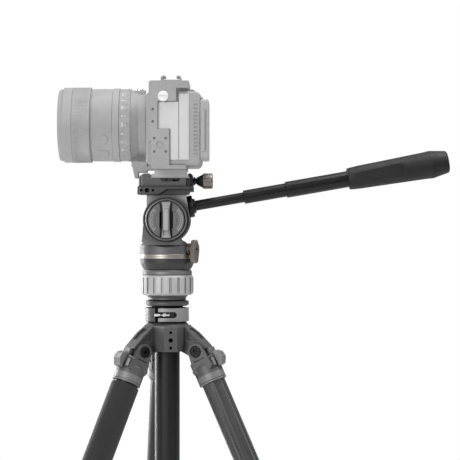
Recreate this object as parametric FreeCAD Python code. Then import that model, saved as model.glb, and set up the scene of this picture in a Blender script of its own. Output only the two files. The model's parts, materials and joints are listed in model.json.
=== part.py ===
"""A mirrorless cinema camera in a half cage, on a compact fluid video head and a carbon travel tripod.

The pan axis is +Z and passes through the origin, which is on the floor between the three feet. The lens
points along -X and the pan handle leaves the head along +X. Sizes are in millimetres. Heights are given
above the leg hinges, at the level HINGE_Z, unless a name says otherwise.
"""
import FreeCAD
import Part
import math
import os

V = FreeCAD.Vector
os.makedirs("parts", exist_ok=True)

# ---- driving dimensions: tripod -------------------------------------------------------------------
LEG_AZIMUTH = {"right": -22.0, "left": -142.0, "back": 98.0}
SPREAD = 25.0              # a leg's angle from the vertical at its first stop
HINGE_R = 41.5             # the leg hinge's distance from the pan axis
FOOT_REACH = 424.0         # from the hinge to the middle of the foot's ball, sections pushed in
FOOT_R = 14.0
HINGE_Z = FOOT_R + FOOT_REACH * math.cos(math.radians(SPREAD))

UPPER_R, MIDDLE_R, LOWER_R = 13.6, 11.4, 9.4       # leg tubes, outside
UPPER_BORE, MIDDLE_BORE, LOWER_BORE = 12.2, 10.1, 7.8
RUN = 0.1                  # radial clearance of what turns or slides
LUG_HALF = 9.2             # half the width of a spider arm, between the shoulder's ears
EAR_IN, EAR_OUT = 9.5, 14.5
BOLT_R = 4.0
COLLAR_R = 16.3            # the leg shoulder's socket
SHOULDER_END = 39.0        # where the shoulder ends, down the leg from the hinge
TUBE_START = 24.5
UPPER_END, MIDDLE_END = 338.0, 374.0
LOCK_HEIGHT = 34.0

COLUMN_R, COLUMN_BORE = 14.5, 12.4
COLUMN_BELOW = 205.0       # how far the column hangs below the hinges
CLAMP_Z0, CLAMP_Z1, CLAMP_R = 33.4, 49.8, 25.1

# ---- driving dimensions: head ---------------------------------------------------------------------
PLATE_BASE_Z = 51.7        # the column's top disc
DISC_Z1 = 58.0
RING_Z0, RING_Z1, RING_R = 64.1, 87.2, 30.4
DRUM_Z0, DRUM_Z1, DRUM_R = 94.0, 123.9, 31.3
TILT_Z = 150.9             # the tilt axis
ARM_IN, ARM_OUT, ARM_R = 19.0, 29.0, 26.9
AXLE_R, STUB_R = 8.0, 4.0
DIAL_R, DIAL_Y0, DIAL_Y1 = 23.9, -29.3, -34.5
TOP_PLATE_Z0, TOP_PLATE_Z1 = 180.2, 189.6
TOP_PLATE_X0, TOP_PLATE_X1, TOP_PLATE_Y = -34.0, 30.7, 25.0
HANDLE_RISE = 9.9          # degrees above the horizontal
HANDLE_X, HANDLE_Z = 28.8, 15.9                    # the flange's middle, from the tilt axis
HANDLE_R = (5.9, 7.9, 9.4)
HANDLE_STEP = (61.0, 110.5, 185.0, 301.5)          # where each handle piece begins, and the grip's end

# ---- driving dimensions: clamp and plate ----------------------------------------------------------
CLAMP_FLOOR = 199.3
JAW_TOP = 204.3
CLAMP_X0, CLAMP_X1, CLAMP_Y = -32.4, 22.4, 22.0
DOVETAIL_HALF = 22.9       # the plate's half width at the bottom of its dovetail
PLATE_MID_X = 3.15
KNOB_Z = 196.0

# ---- driving dimensions: camera and lens ----------------------------------------------------------
LENS_Z = 260.8
CAM_X0, CAM_X1 = -22.8, 40.0
CAM_Y0, CAM_Y1 = -47.5, 80.0
CAM_Z0, CAM_Z1 = 212.6, 296.6
CAGE_Y = -52.0             # the cage's outer face on the port side
CAGE_TOP = 308.4
LENS_MOUNT_X = -23.8


# ---- helpers --------------------------------------------------------------------------------------
def revolve(profile, axis=V(0, 0, 1), base=V(0, 0, 0)):
    """Turns a closed outline of (radius, height) points about the Z axis."""
    wire = Part.makePolygon([V(r, 0, z) for r, z in profile + profile[:1]])
    solid = Part.Face(wire).revolve(V(0, 0, 0), V(0, 0, 1), 360)
    solid.rotate(V(0, 0, 0), *turn_to(axis))
    solid.translate(base)
    return solid


def turn_to(axis):
    """The rotation, as an axis and degrees, that takes +Z to the given direction."""
    r = FreeCAD.Rotation(V(0, 0, 1), axis)
    return r.Axis, math.degrees(r.Angle)


def rod(radius, start, end):
    """A round bar between two points."""
    along = end - start
    return Part.makeCylinder(radius, along.Length, start, along)


def disc(radius, z0, z1):
    return rod(radius, V(0, 0, z0), V(0, 0, z1))


def box(x0, x1, y0, y1, z0, z1):
    return Part.makeBox(x1 - x0, y1 - y0, z1 - z0, V(x0, y0, z0))


def prism_y(outline, y0, y1):
    """Extrudes a closed outline of (x, z) points along Y."""
    wire = Part.makePolygon([V(x, y0, z) for x, z in outline + outline[:1]])
    return Part.Face(wire).extrude(V(0, y1 - y0, 0))


def prism_z(outline, z0, z1):
    wire = Part.makePolygon([V(x, y, z0) for x, y in outline + outline[:1]])
    return Part.Face(wire).extrude(V(0, 0, z1 - z0))


def edges_along(shape, direction):
    """The straight edges parallel to a direction."""
    found = []
    for e in shape.Edges:
        if isinstance(e.Curve, Part.Line):
            run = (e.Vertexes[-1].Point - e.Vertexes[0].Point).normalize()
            if abs(abs(run.dot(direction)) - 1) < 1e-6:
                found.append(e)
    return found


def soft_box(x0, x1, y0, y1, z0, z1, corner, edge, along="z"):
    """A box with round corners along one axis and small rounded edges elsewhere."""
    direction = {"x": V(1, 0, 0), "y": V(0, 1, 0), "z": V(0, 0, 1)}[along]
    b = box(x0, x1, y0, y1, z0, z1)
    b = b.makeFillet(corner, edges_along(b, direction))
    ends = [e for e in b.Edges if abs(e.tangentAt(e.FirstParameter).dot(direction)) < 1e-6]
    return b.makeFillet(edge, ends)


def turned(shape, degrees, axis=V(0, 0, 1), centre=V(0, 0, 0)):
    s = shape.copy()
    s.rotate(centre, axis, degrees)
    return s


def moved(shape, x=0, y=0, z=0):
    s = shape.copy()
    s.translate(V(x, y, z))
    return s


def raised(shape):
    """Lifts a shape given above the hinge level to its place above the floor."""
    return moved(shape, z=HINGE_Z)


def round_all(shape, radius, pick):
    """Rounds the edges that pick accepts."""
    return shape.makeFillet(radius, [e for e in shape.Edges if pick(e)])


def sector(r0, r1, z0, z1, a0, a1):
    """A piece of a ring between two azimuths, in degrees."""
    ring = Part.makeCylinder(r1, z1 - z0, V(0, 0, z0), V(0, 0, 1), a1 - a0)
    if r0 > 0:
        ring = ring.cut(disc(r0, z0 - 1, z1 + 1))
    return turned(ring, a0)


def polar(r, azimuth, z=0.0):
    a = math.radians(azimuth)
    return V(r * math.cos(a), r * math.sin(a), z)


NODES = {}


def save(name, shape):
    solids = shape.Solids
    assert solids and shape.isValid(), name
    out = solids[0] if len(solids) == 1 else Part.makeCompound(solids)
    out.exportStep("parts/" + name + ".step")
    NODES[name] = out
    b = out.BoundBox
    print("%-24s %d solid(s) %9.0f mm3  z %.1f to %.1f" % (name, len(solids), out.Volume, b.ZMin, b.ZMax))


# ---- tripod: spider, column and its clamp ---------------------------------------------------------
HUB_FLAT = 26.0            # a hub side's distance from the pan axis, square to an arm
BOSS_FRONT, BOSS_HALF = 39.0, 7.8
HUB_Z0, HUB_Z1 = 0.3, 29.5
NECK_R, BORE_R = 19.4, COLUMN_R + RUN
BOSS_HOLES = ((22.4, 1.7), (13.6, 2.6), (4.8, 1.7))      # height and radius: pin, thread, pin
BOSS_AZIMUTH = -82.0


def arm_outline():
    """Side view of one spider arm, as (distance from the pan axis, height)."""
    stop = [leg_to_arm(x, -0.8) for x in (12.8, 10.0)]
    return [(12, 29.5), (24.5, 29.5), (36.8, 21.2), (46.2, 12.2), (51.0, 7.4)] + stop + [
        (HINGE_R + 9.0, 0.0), (HINGE_R, -9.0), (30.8, -5.0), (20.0, 0.3), (12, 0.3)]


def leg_to_arm(x, z):
    """A point in the leg's upright frame, as it lies in the arm's side view at the first stop."""
    a = math.radians(SPREAD)
    return HINGE_R + x * math.cos(a) - z * math.sin(a), x * math.sin(a) + z * math.cos(a)


def make_spider():
    """The hub casting: a cut-off triangle with a boss between each pair of arms."""
    corners = []
    for azimuth in LEG_AZIMUTH.values():
        for side in (-1, 1):
            reach = polar(BOSS_FRONT, azimuth + 60) + polar(BOSS_HALF * side, azimuth + 150)
            corners.append((math.degrees(math.atan2(reach.y, reach.x)) % 360, reach))
    corners.sort(key=lambda c: c[0])
    hub = prism_z([(p.x, p.y) for _, p in corners], HUB_Z0, HUB_Z1)
    keep = None
    for azimuth in LEG_AZIMUTH.values():
        side = turned(box(-80, HUB_FLAT, -80, 80, HUB_Z0 - 1, HUB_Z1 + 1), azimuth)
        keep = side if keep is None else keep.common(side)
    hub = hub.common(keep).removeSplitter()
    top_edges = [e for e in hub.Edges if abs(e.CenterOfMass.z - HUB_Z1) < 1e-6]
    hub = hub.makeFillet(1.6, top_edges)
    hub = hub.common(turned(box(4.0, 80, -80, 80, -5, 60), BOSS_AZIMUTH))
    hub = hub.fuse(revolve([(10, HUB_Z0), (24.0, HUB_Z0), (24.0, HUB_Z1 - 5), (20.5, HUB_Z1), (10, HUB_Z1)]))
    for azimuth in LEG_AZIMUTH.values():
        arm = prism_y(arm_outline(), -LUG_HALF, LUG_HALF)
        arm = arm.fuse(rod(9.5, V(HINGE_R, -LUG_HALF, 0), V(HINGE_R, LUG_HALF, 0)))
        recess = prism_y([(29.5, 22.5), (42.8, 12.6), (29.5, 12.6)], -LUG_HALF - 1, -LUG_HALF + 1.6)
        arm = arm.cut(recess).cut(recess.mirror(V(0, 0, 0), V(0, 1, 0)))
        roof = prism_y([(29.0, 40), (29.0, 24.2), (36.8, 18.9), (44.0, 12.0), (44.0, 40)], -5.6, 5.6)
        arm = arm.cut(roof)
        hub = hub.fuse(turned(arm, azimuth))
    hub = hub.fuse(disc(NECK_R, HUB_Z1 - 3, CLAMP_Z1)).fuse(
        revolve([(10, HUB_Z1 - 1), (26, HUB_Z1 - 1), (22.0, CLAMP_Z0 - 0.4), (10, CLAMP_Z0 - 0.4)]))
    hub = hub.cut(disc(BORE_R, -20, 60))
    for azimuth in LEG_AZIMUTH.values():
        hub = hub.cut(rod(BOLT_R, polar(HINGE_R, azimuth) + polar(40, azimuth - 90),
                          polar(HINGE_R, azimuth) + polar(40, azimuth + 90)))
        slit = turned(box(0, 30, -0.8, 0.8, CLAMP_Z0 + 1, CLAMP_Z1 + 1), azimuth + 60)
        hub = hub.cut(slit)
    for height, radius in BOSS_HOLES:
        hub = hub.cut(rod(radius, polar(BOSS_FRONT + 5, BOSS_AZIMUTH, height),
                          polar(BOSS_FRONT - 11, BOSS_AZIMUTH, height)))
    return hub.removeSplitter()


def make_hinge_bolts():
    """One pin through each arm and both ears, with a socket head at each end."""
    bolts = []
    for azimuth in LEG_AZIMUTH.values():
        across = V(0, EAR_OUT - 1.9, 0)
        bolt = rod(BOLT_R, -across, across)
        for side in (-1, 1):
            head = rod(6.3, V(0, side * (EAR_OUT - 2.0), 0), V(0, side * (EAR_OUT + 0.6), 0))
            head = round_all(head, 0.6, lambda e: abs(abs(e.CenterOfMass.y) - EAR_OUT - 0.6) < 1e-6)
            socket = Part.Face(Part.makePolygon([
                V(2.9 * math.cos(math.radians(60 * k)), side * (EAR_OUT + 1),
                  2.9 * math.sin(math.radians(60 * k)))
                for k in range(7)])).extrude(V(0, -side * 2.6, 0))
            bolt = bolt.fuse(head).cut(socket)
        bolts.append(turned(moved(bolt, x=HINGE_R), azimuth))
    return Part.makeCompound(bolts)


CLAMP_PIN_AZIMUTH = -106.0
CLAMP_PIN_R = 23.2
BAND_R = NECK_R + 0.1
SPLIT = (-122.0, -112.0)   # the gap in the band
LEVER_END = 62.0
POCKET = (-112.0, LEVER_END + 4)


def make_clamp_band():
    """The split ring that squeezes the hub's slotted neck on to the column."""
    band = disc(CLAMP_R, CLAMP_Z0, CLAMP_Z1)
    band = round_all(band, 1.2, lambda e: abs(e.Length - 2 * math.pi * CLAMP_R) < 1)
    band = band.cut(disc(BAND_R, CLAMP_Z0 - 1, CLAMP_Z1 + 1))
    band = band.cut(sector(0, 40, CLAMP_Z0 - 1, CLAMP_Z1 + 1, *SPLIT))
    pocket = sector(21.4, 40, CLAMP_Z0 - 1, CLAMP_Z1 + 1, *POCKET)
    hollow = disc(4.6, CLAMP_Z0 - 1, CLAMP_Z1 + 1)
    pin, end = draw_bolt_line(0.3)
    return band.cut(pocket).cut(moved(hollow, x=pin.x, y=pin.y)).cut(rod(1.5, pin, end))


def draw_bolt_line(extra=0.0):
    """From the lever's pin to the draw bolt's end in the band."""
    mid = (CLAMP_Z0 + CLAMP_Z1) / 2
    pin, end = polar(CLAMP_PIN_R, CLAMP_PIN_AZIMUTH, mid), polar(22.4, -128.0, mid)
    return pin, end + (end - pin).normalize() * extra


def make_clamp_bolt():
    """The draw bolt across the split, with its barrel nut and the lever's pivot pin."""
    pin, end = draw_bolt_line()
    barrel = moved(disc(1.6, CLAMP_Z0 + 0.6, CLAMP_Z1 - 0.6), pin.x, pin.y)
    return barrel.fuse(rod(1.4, pin, end))


def make_clamp_lever():
    """The curved flip lever: it pivots at the front and lies round the band to the back."""
    z0, z1 = CLAMP_Z0 + 0.5, CLAMP_Z1 - 0.5
    pin = polar(CLAMP_PIN_R, CLAMP_PIN_AZIMUTH)
    arc = sector(21.8, CLAMP_R, z0, z1, CLAMP_PIN_AZIMUTH + 2, LEVER_END)
    nose = moved(disc(3.4, z0, z1), pin.x, pin.y).common(disc(CLAMP_R, z0, z1))
    lever = arc.fuse(nose).removeSplitter()
    window = sector(18, 40, z0 + 4.2, z1 - 4.2, CLAMP_PIN_AZIMUTH - 20, -70)
    window = window.fuse(turned(rod(3.6, V(18, 0, (z0 + z1) / 2), V(40, 0, (z0 + z1) / 2)), -70))
    lever = lever.cut(window)
    tail = turned(box(21.9, CLAMP_R + 2.4, -5.5, 0.5, z0 + 2, z1 - 2), LEVER_END)
    lever = lever.fuse(tail)
    return lever.cut(moved(disc(1.7, z0 - 1, z1 + 1), pin.x, pin.y)).removeSplitter()


def make_column():
    tube = disc(COLUMN_R, -COLUMN_BELOW, PLATE_BASE_Z - 1.5)
    return tube.cut(disc(COLUMN_BORE, -COLUMN_BELOW - 1, PLATE_BASE_Z))


def make_column_plate():
    """The disc that carries the head, its rubber-faced collar, its plug in the tube and its stud."""
    return revolve([
        (0, 30), (COLUMN_BORE - 0.05, 30), (COLUMN_BORE - 0.05, PLATE_BASE_Z - 1.5),
        (18.0, PLATE_BASE_Z - 1.5),
        (18.6, PLATE_BASE_Z), (22.6, PLATE_BASE_Z), (24.6, PLATE_BASE_Z + 0.9), (25.1, PLATE_BASE_Z + 2.0),
        (25.1, DISC_Z1 - 1.8), (24.4, DISC_Z1 - 0.8), (22.4, DISC_Z1), (4.7, DISC_Z1), (4.7, 68.0),
        (4.0, 69.0), (0, 69.0)])


def make_column_hook():
    """The column's lower end cap with a weight hook below it."""
    z = -COLUMN_BELOW
    cap = revolve([
        (0, z + 14), (COLUMN_BORE - 0.1, z + 14), (COLUMN_BORE - 0.1, z), (15.3, z), (15.3, z - 7),
        (13.8, z - 9.5), (3.0, z - 10.5), (3.0, z - 17), (0, z - 17)])
    ring = Part.makeTorus(6.6, 1.9, V(0, 0, z - 22.5), V(0, 1, 0))
    gap = box(1.5, 12, -5, 5, z - 26.5, z - 20.5)
    return cap.fuse(ring.cut(gap)).removeSplitter()


# ---- tripod: one leg, upright with its hinge at the origin ----------------------------------------
def to_leg(shape, azimuth):
    """Spreads an upright leg piece to the first stop and takes it to its hinge."""
    return raised(turned(moved(turned(shape, -SPREAD, V(0, 1, 0)), x=HINGE_R), azimuth))


def make_shoulder():
    """The casting at the top of a leg: two ears, a wall for the latch and a socket for the tube."""
    ear = prism_y([(-9.3, 0), (-11.4, -16), (-13.5, -22), (13.5, -22), (11.8, -14), (9.3, 0)], EAR_IN, EAR_OUT)
    ear = ear.fuse(rod(9.3, V(0, EAR_IN, 0), V(0, EAR_OUT, 0)))
    ear = ear.cut(rod(7.2, V(0, EAR_OUT - 2.3, 0), V(0, EAR_OUT + 1, 0)))
    hollow = prism_y([(-6.5, -9.5), (-8.5, -17), (6, -17), (6.8, -9.5)], EAR_OUT - 1.0, EAR_OUT + 1)
    ear = ear.cut(hollow.cut(rod(8.4, V(0, 10, 0), V(0, 20, 0))))
    body = ear.fuse(ear.mirror(V(0, 0, 0), V(0, 1, 0)))
    wall = prism_y([(10.4, -11.5), (15.4, -11.5), (16.0, -20), (10.4, -20)], -EAR_IN, EAR_IN)
    outline = [(-13.5, -11.2), (10.6, -11.2), (15.7, -9.0), (16.0, -24), (-13.5, -24)]
    block = prism_y(outline, -EAR_OUT, EAR_OUT)
    block = block.common(disc(COLLAR_R + 1.6, -24, -9))
    skirt = revolve([
        (0, -18), (COLLAR_R - 0.6, -18), (COLLAR_R, -20), (COLLAR_R, -SHOULDER_END + 2.6),
        (COLLAR_R - 0.5, -SHOULDER_END + 2.2), (COLLAR_R + 0.2, -SHOULDER_END + 1.8),
        (COLLAR_R + 0.2, -SHOULDER_END + 0.4), (COLLAR_R - 0.4, -SHOULDER_END), (0, -SHOULDER_END)])
    body = body.fuse(wall).fuse(block).fuse(skirt)
    body = body.cut(disc(UPPER_R, -SHOULDER_END - 1, -TUBE_START))
    body = body.cut(rod(BOLT_R + RUN, V(0, -20, 0), V(0, 20, 0)))
    body = body.cut(rod(9.8, V(0, -EAR_IN, 0), V(0, EAR_IN, 0)))
    body = body.cut(box(10.3, 20, -6.4, 6.4, -18.2, 2))
    return body.removeSplitter()


def make_latch():
    """The spring latch that meets the spider's stop, with its finger tab."""
    block = box(10.6, 15.4, -6.2, 6.2, -18.0, -1.2)
    tab = prism_y([(15.0, -7.5), (19.0, -6.6), (23.4, -10.5), (24.6, -17.0), (20.6, -24.5), (16.9, -25.0),
                   (16.9, -18.0), (15.0, -18.0)], -6.2, 6.2)
    tab = round_all(tab, 1.0, lambda e: e.Length > 12 and e.CenterOfMass.x > 18)
    return block.fuse(tab).removeSplitter()


def tube(radius, bore, start, end):
    return disc(radius, -end, -start).cut(disc(bore, -end - 1, -start + 1))


def sliding_tube(radius, bore, start, end, guide_r):
    """A leg tube with the guide bushing that centres its upper end in the next tube."""
    guide = tube(guide_r, bore, start, start + 14.0)
    return tube(radius, bore, start, end).fuse(guide).removeSplitter()


def make_lock(outer_tube_r, inner_tube_r, radius, start):
    """A twist lock: a ribbed sleeve that screws over a tube's end and grips the next tube."""
    end = start + LOCK_HEIGHT - 2.0
    sleeve = revolve([
        (0, -start), (radius - 1.6, -start), (radius, -start - 1.6), (radius, -end + 5),
        (radius - 1.0, -end + 1), (radius - 2.0, -end), (0, -end)])
    for k in range(12):
        flute = moved(disc(2.4, -end + 6, -start - 4), x=radius + 1.7)
        sleeve = sleeve.cut(turned(flute, 30 * k))
    sleeve = sleeve.cut(disc(outer_tube_r + RUN, -start - 8.2, -start + 1))
    return sleeve.cut(disc(inner_tube_r + RUN, -end - 1, -start + 1))


def make_foam():
    """The foam sleeve on one leg's upper tube."""
    foam = tube(16.2, UPPER_R + 0.02, SHOULDER_END + 2.0, 236.0)
    return round_all(foam, 1.6, lambda e: abs(e.Length - 2 * math.pi * 16.2) < 1)


def make_foot():
    """The rubber foot: a ribbed cup that the lower tube sits in, ending in a ball."""
    top = MIDDLE_END + LOCK_HEIGHT - 7.6
    cup = revolve([
        (0, -top), (11.4, -top), (12.6, -top - 1.2), (13.2, -FOOT_REACH + 2), (14.0, -FOOT_REACH),
        (0, -FOOT_REACH)])
    ball = Part.makeSphere(FOOT_R, V(0, 0, -FOOT_REACH))
    cup = cup.fuse(ball.common(disc(FOOT_R + 1, -FOOT_REACH - FOOT_R - 1, -FOOT_REACH + 0.01)))
    for k in range(3):
        groove = Part.makeTorus(13.9, 1.1, V(0, 0, -top - 7.0 - 4.4 * k))
        cup = cup.cut(groove)
    return cup.cut(disc(LOWER_R, -LOWER_END, -top + 1)).removeSplitter()


LOWER_END = 418.0
MIDDLE_START, LOWER_START = 60.0, 95.0


# ---- head -----------------------------------------------------------------------------------------
def make_head_base():
    """The head's fixed lower part: a foot on the column's disc, the core that the drag ring turns on, the
    plain collar above it, and the spigot that the pan housing turns on."""
    base = revolve([
        (0, DISC_Z1), (20.6, DISC_Z1), (21.8, DISC_Z1 + 1), (21.8, DISC_Z1 + 3.2),
        (CORE_RADIUS, DISC_Z1 + 5.0),
        (CORE_RADIUS, RING_Z1 + 0.4), (28.4, RING_Z1 + 0.4), (28.9, RING_Z1 + 1.2), (28.4, RING_Z1 + 4.4),
        (27.2, DRUM_Z0 - 0.5), (SPIGOT_R, DRUM_Z0 - 0.5), (SPIGOT_R, DRUM_Z0 + 14), (0, DRUM_Z0 + 14)])
    return base.cut(disc(4.7 + 0.1, DISC_Z1 - 1, 69.2))


RING_FLUTES = 20
CORE_RADIUS, SPIGOT_R = 24.0, 14.0


def make_drag_ring():
    """The pale pan-drag ring with broad finger flutes."""
    ring = revolve([
        (0, RING_Z0), (27.4, RING_Z0), (RING_R - 0.5, RING_Z0 + 1.9), (RING_R, RING_Z0 + 4),
        (RING_R, RING_Z1 - 3.4), (RING_R - 0.6, RING_Z1 - 1.8), (28.7, RING_Z1), (0, RING_Z1)])
    flute = prism_z([(RING_R + 4, -2.3), (RING_R - 1.1, -1.3), (RING_R - 1.1, 1.3), (RING_R + 4, 2.3)],
                    RING_Z0 - 1, RING_Z1 - 2.6)
    for k in range(RING_FLUTES):
        ring = ring.cut(turned(flute, 360 / RING_FLUTES * (k + 0.5)))
    return ring.cut(disc(CORE_RADIUS + RUN, RING_Z0 - 1, RING_Z1 + 1))


def arm_side():
    """One cheek of the yoke, seen along Y, about the tilt axis."""
    low = DRUM_Z1 - TILT_Z - 2
    cheek = prism_y([(3 - ARM_R, 8), (-ARM_R, -9), (-27.3, -17), (-28.6, -23.5), (-30.6, low), (24.5, low),
                     (21.0, low + 3.2), (16.4, low + 5.6), (15.2, -19.0), (0, 0)], ARM_IN, ARM_OUT)
    return cheek.fuse(rod(ARM_R, V(0, ARM_IN, 0), V(0, ARM_OUT, 0)))


def make_pan_housing():
    """The turning drum with its two cheeks, scooped out under the tilt dial."""
    drum = revolve([
        (0, DRUM_Z0), (27.4, DRUM_Z0), (29.0, DRUM_Z0 + 2.6), (30.9, DRUM_Z0 + 7.0), (DRUM_R, DRUM_Z0 + 9.6),
        (DRUM_R, DRUM_Z1 - 4.0), (30.8, DRUM_Z1 - 1.6), (29.4, DRUM_Z1 - 0.3), (27.6, DRUM_Z1), (0, DRUM_Z1)])
    drum = drum.cut(rod(58.2, V(0.5, -60, DRUM_Z1 + 53.8), V(0.5, -ARM_OUT + 4.2, DRUM_Z1 + 53.8)))
    cheek = arm_side()
    rim = rod(ARM_R - 1.2, V(0, ARM_OUT - 1.4, 0), V(0, ARM_OUT + 1, 0))
    inner = rod(ARM_R - 2.6, V(0, ARM_OUT - 2, 0), V(0, ARM_OUT + 2, 0))
    cheek = cheek.cut(rim.cut(inner))
    cheek = cheek.cut(rod(ARM_R - 2.6, V(0, ARM_OUT - 0.6, 0), V(0, ARM_OUT + 1, 0)))
    cheeks = moved(cheek.fuse(cheek.mirror(V(0, 0, 0), V(0, 1, 0))), z=TILT_Z)
    cheeks = cheeks.common(revolve([
        (0, DRUM_Z1 - 3), (DRUM_R, DRUM_Z1 - 3), (31.9, DRUM_Z1 - 1.0), (41.0, DRUM_Z1 + 9.0),
        (41.0, TILT_Z + 40), (0, TILT_Z + 40)]))
    trough = rod(25.9, V(0, -ARM_IN, TILT_Z), V(0, ARM_IN, TILT_Z))
    body = drum.cut(disc(SPIGOT_R + RUN, DRUM_Z0 - 1, DRUM_Z0 + 14.4)).fuse(cheeks).cut(trough)
    body = body.cut(rod(AXLE_R + RUN, V(0, -40, TILT_Z), V(0, 40, TILT_Z)))
    groove = disc(DRUM_R + 2, RING_BAND[0], RING_BAND[1])
    groove = groove.cut(disc(DRUM_R - 1.2, RING_BAND[0] - 1, RING_BAND[1] + 1))
    body = body.cut(groove)
    lever_hole = rod(3.6, lock_point(10), lock_point(DRUM_R + 10))
    flat = rod(7.2, lock_point(DRUM_R - 0.8), lock_point(DRUM_R + 10))
    return body.cut(lever_hole).cut(flat).removeSplitter()


RING_BAND = (106.6, 111.2)
LOCK_AZIMUTH, LOCK_Z = -33.0, 117.6


def lock_point(radius):
    return polar(radius, LOCK_AZIMUTH, LOCK_Z)


def make_pan_band():
    """The bronze trim band round the drum, with the pan scale."""
    outline = [(DRUM_R - 1.2, RING_BAND[0]), (DRUM_R + 0.1, RING_BAND[0]), (DRUM_R + 0.3, RING_BAND[0] + 0.3),
               (DRUM_R + 0.3, RING_BAND[0] + 1.8), (DRUM_R - 0.1, RING_BAND[0] + 2.1),
               (DRUM_R - 0.1, RING_BAND[1] - 2.1), (DRUM_R + 0.3, RING_BAND[1] - 1.8),
               (DRUM_R + 0.3, RING_BAND[1] - 0.3), (DRUM_R + 0.1, RING_BAND[1]), (DRUM_R - 1.2, RING_BAND[1])]
    return revolve(outline)


def make_pan_lock():
    """The pan lock: a screw with a stepped collar and a diamond-shaped lever, built along +X."""
    stem = revolve([(0, 11), (3.5, 11), (3.5, DRUM_R - 0.7), (6.2, DRUM_R - 0.7), (6.2, DRUM_R + 1.6),
                    (4.6, DRUM_R + 2.2), (4.6, DRUM_R + 5.0), (0, DRUM_R + 5.0)], V(1, 0, 0))
    x0, x1 = DRUM_R + 4.6, DRUM_R + 10.4
    outline = [(-3.6, 9.6), (1.6, 10.6), (5.6, 3.0), (5.8, -2.0), (3.4, -14.6), (1.6, -16.6), (-3.8, -16.2),
               (-5.2, -13.6), (-5.6, -1.0)]
    wire = Part.makePolygon([V(x0, y, z) for y, z in outline + outline[:1]])
    lever = Part.Face(wire).extrude(V(x1 - x0, 0, 0))
    lever = lever.makeFillet(1.4, edges_along(lever, V(1, 0, 0)))
    lever = lever.makeChamfer(0.9, [e for e in lever.Edges if abs(e.CenterOfMass.x - x1) < 1e-6])
    lever = lever.cut(rod(1.7, V(x1 - 2.6, 0, 0), V(x1 + 1, 0, 0)))
    lever = stem.fuse(lever).removeSplitter()
    return moved(turned(lever, LOCK_AZIMUTH), z=LOCK_Z)


def make_tilt_body():
    """The block between the cheeks, which carries the top plate and the handle."""
    top = TOP_PLATE_Z0 - TILT_Z
    y = ARM_IN - 0.35
    block = prism_y([(-23.0, top), (-23.0, -6), (-12, -20), (12, -20), (24.0, -4), (24.2, top)], -y, y)
    block = block.common(rod(25.2, V(0, -y, 0), V(0, y, 0)).fuse(box(-30, 30, -y, y, 0, 40)))
    seat = handle_frame(rod(14.6, V(-20, 0, 0), V(-4.4, 0, 0)))
    block = block.fuse(seat).common(box(-60, 60, -y, y, -40, top)).cut(
        handle_frame(rod(30, V(-4.4, 0, 0), V(30, 0, 0))))
    block = block.cut(rod(AXLE_R, V(0, -40, 0), V(0, 40, 0)))
    block = block.cut(handle_frame(rod(6.0, V(-16, 0, 0), V(5, 0, 0))))
    return moved(block, z=TILT_Z).removeSplitter()


def handle_frame(shape):
    """Takes a shape built along +X from the flange's middle to the handle's slope, about the tilt axis."""
    return moved(turned(shape, -HANDLE_RISE, V(0, 1, 0)), x=HANDLE_X, z=HANDLE_Z)


def on_handle(profile):
    """Turns an outline of (radius, distance from the flange) about the handle's own axis."""
    return moved(handle_frame(revolve(profile, V(1, 0, 0))), z=TILT_Z)


def make_tilt_axle():
    """The tilt axle, with a bore for the dial's stub at one end and a round cover at the other."""
    cover = revolve([(0, 0), (ARM_R - 3.4, 0), (ARM_R - 3.4, 2.0), (ARM_R - 4.8, 3.4), (16, 3.9), (15, 3.0),
                     (0, 3.0)],
                    V(0, 1, 0))
    for k in range(4):
        a = math.radians(45 + 90 * k)
        x, z = 19.0 * math.cos(a), 19.0 * math.sin(a)
        screw = rod(1.6, V(x, 2.2, z), V(x, 5, z))
        cover = cover.cut(screw)
    axle = rod(AXLE_R, V(0, -ARM_OUT + 0.9, 0), V(0, ARM_OUT + 0.5, 0)).fuse(moved(cover, y=ARM_OUT - 0.3))
    axle = axle.cut(rod(STUB_R + RUN, V(0, -40, 0), V(0, -ARM_OUT + 12.5, 0)))
    return moved(axle.removeSplitter(), z=TILT_Z)


def make_dial():
    """The tilt-drag dial on the port side, with a raised grip bar across it."""
    face = [(0, 0), (DIAL_R, 0), (DIAL_R, 4.2), (DIAL_R - 1.0, 5.2), (DIAL_R - 2.2, 5.0), (14.6, 4.0),
            (13.8, 3.0), (11.5, 2.6), (0, 3.2)]
    dial = revolve(face, V(0, -1, 0))
    bar = prism_y([(-5.6, -21.6), (5.6, -21.6), (5.6, 21.6), (-5.6, 21.6)], -11.0, -1)
    ends = prism_y([(-20, -40), (20, -40), (20, 40), (-20, 40)], -12, -1)
    crown = [(-1, -23.4), (-5.4, -22.4), (-11.0, -16.2), (-11.0, 16.2), (-5.4, 22.4), (-1, 23.4), (-1, -23.4)]
    slope = Part.Face(Part.makePolygon([V(-20, y, z) for y, z in crown])).extrude(V(40, 0, 0))
    bar = bar.common(ends).common(slope).common(rod(DIAL_R - 1.4, V(0, -12, 0), V(0, 0, 0)))
    waist = [rod(26.0, V(s * 30.4, -12, 0), V(s * 30.4, -3.3, 0)) for s in (-1, 1)]
    bar = bar.cut(waist[0]).cut(waist[1])
    slot = box(-3.0, 3.0, -12, -9.8, -13.0, 13.0)
    bar = bar.cut(slot.makeFillet(1.4, edges_along(slot, V(0, 1, 0))))
    stub = rod(STUB_R, V(0, 0, 0), V(0, 11.6, 0))
    return moved(dial.fuse(bar).fuse(stub), y=DIAL_Y0, z=TILT_Z).removeSplitter()


TOP_HOLES = ((-28.9, 1.6), (-22.2, 2.6), (-15.5, 1.6))


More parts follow.
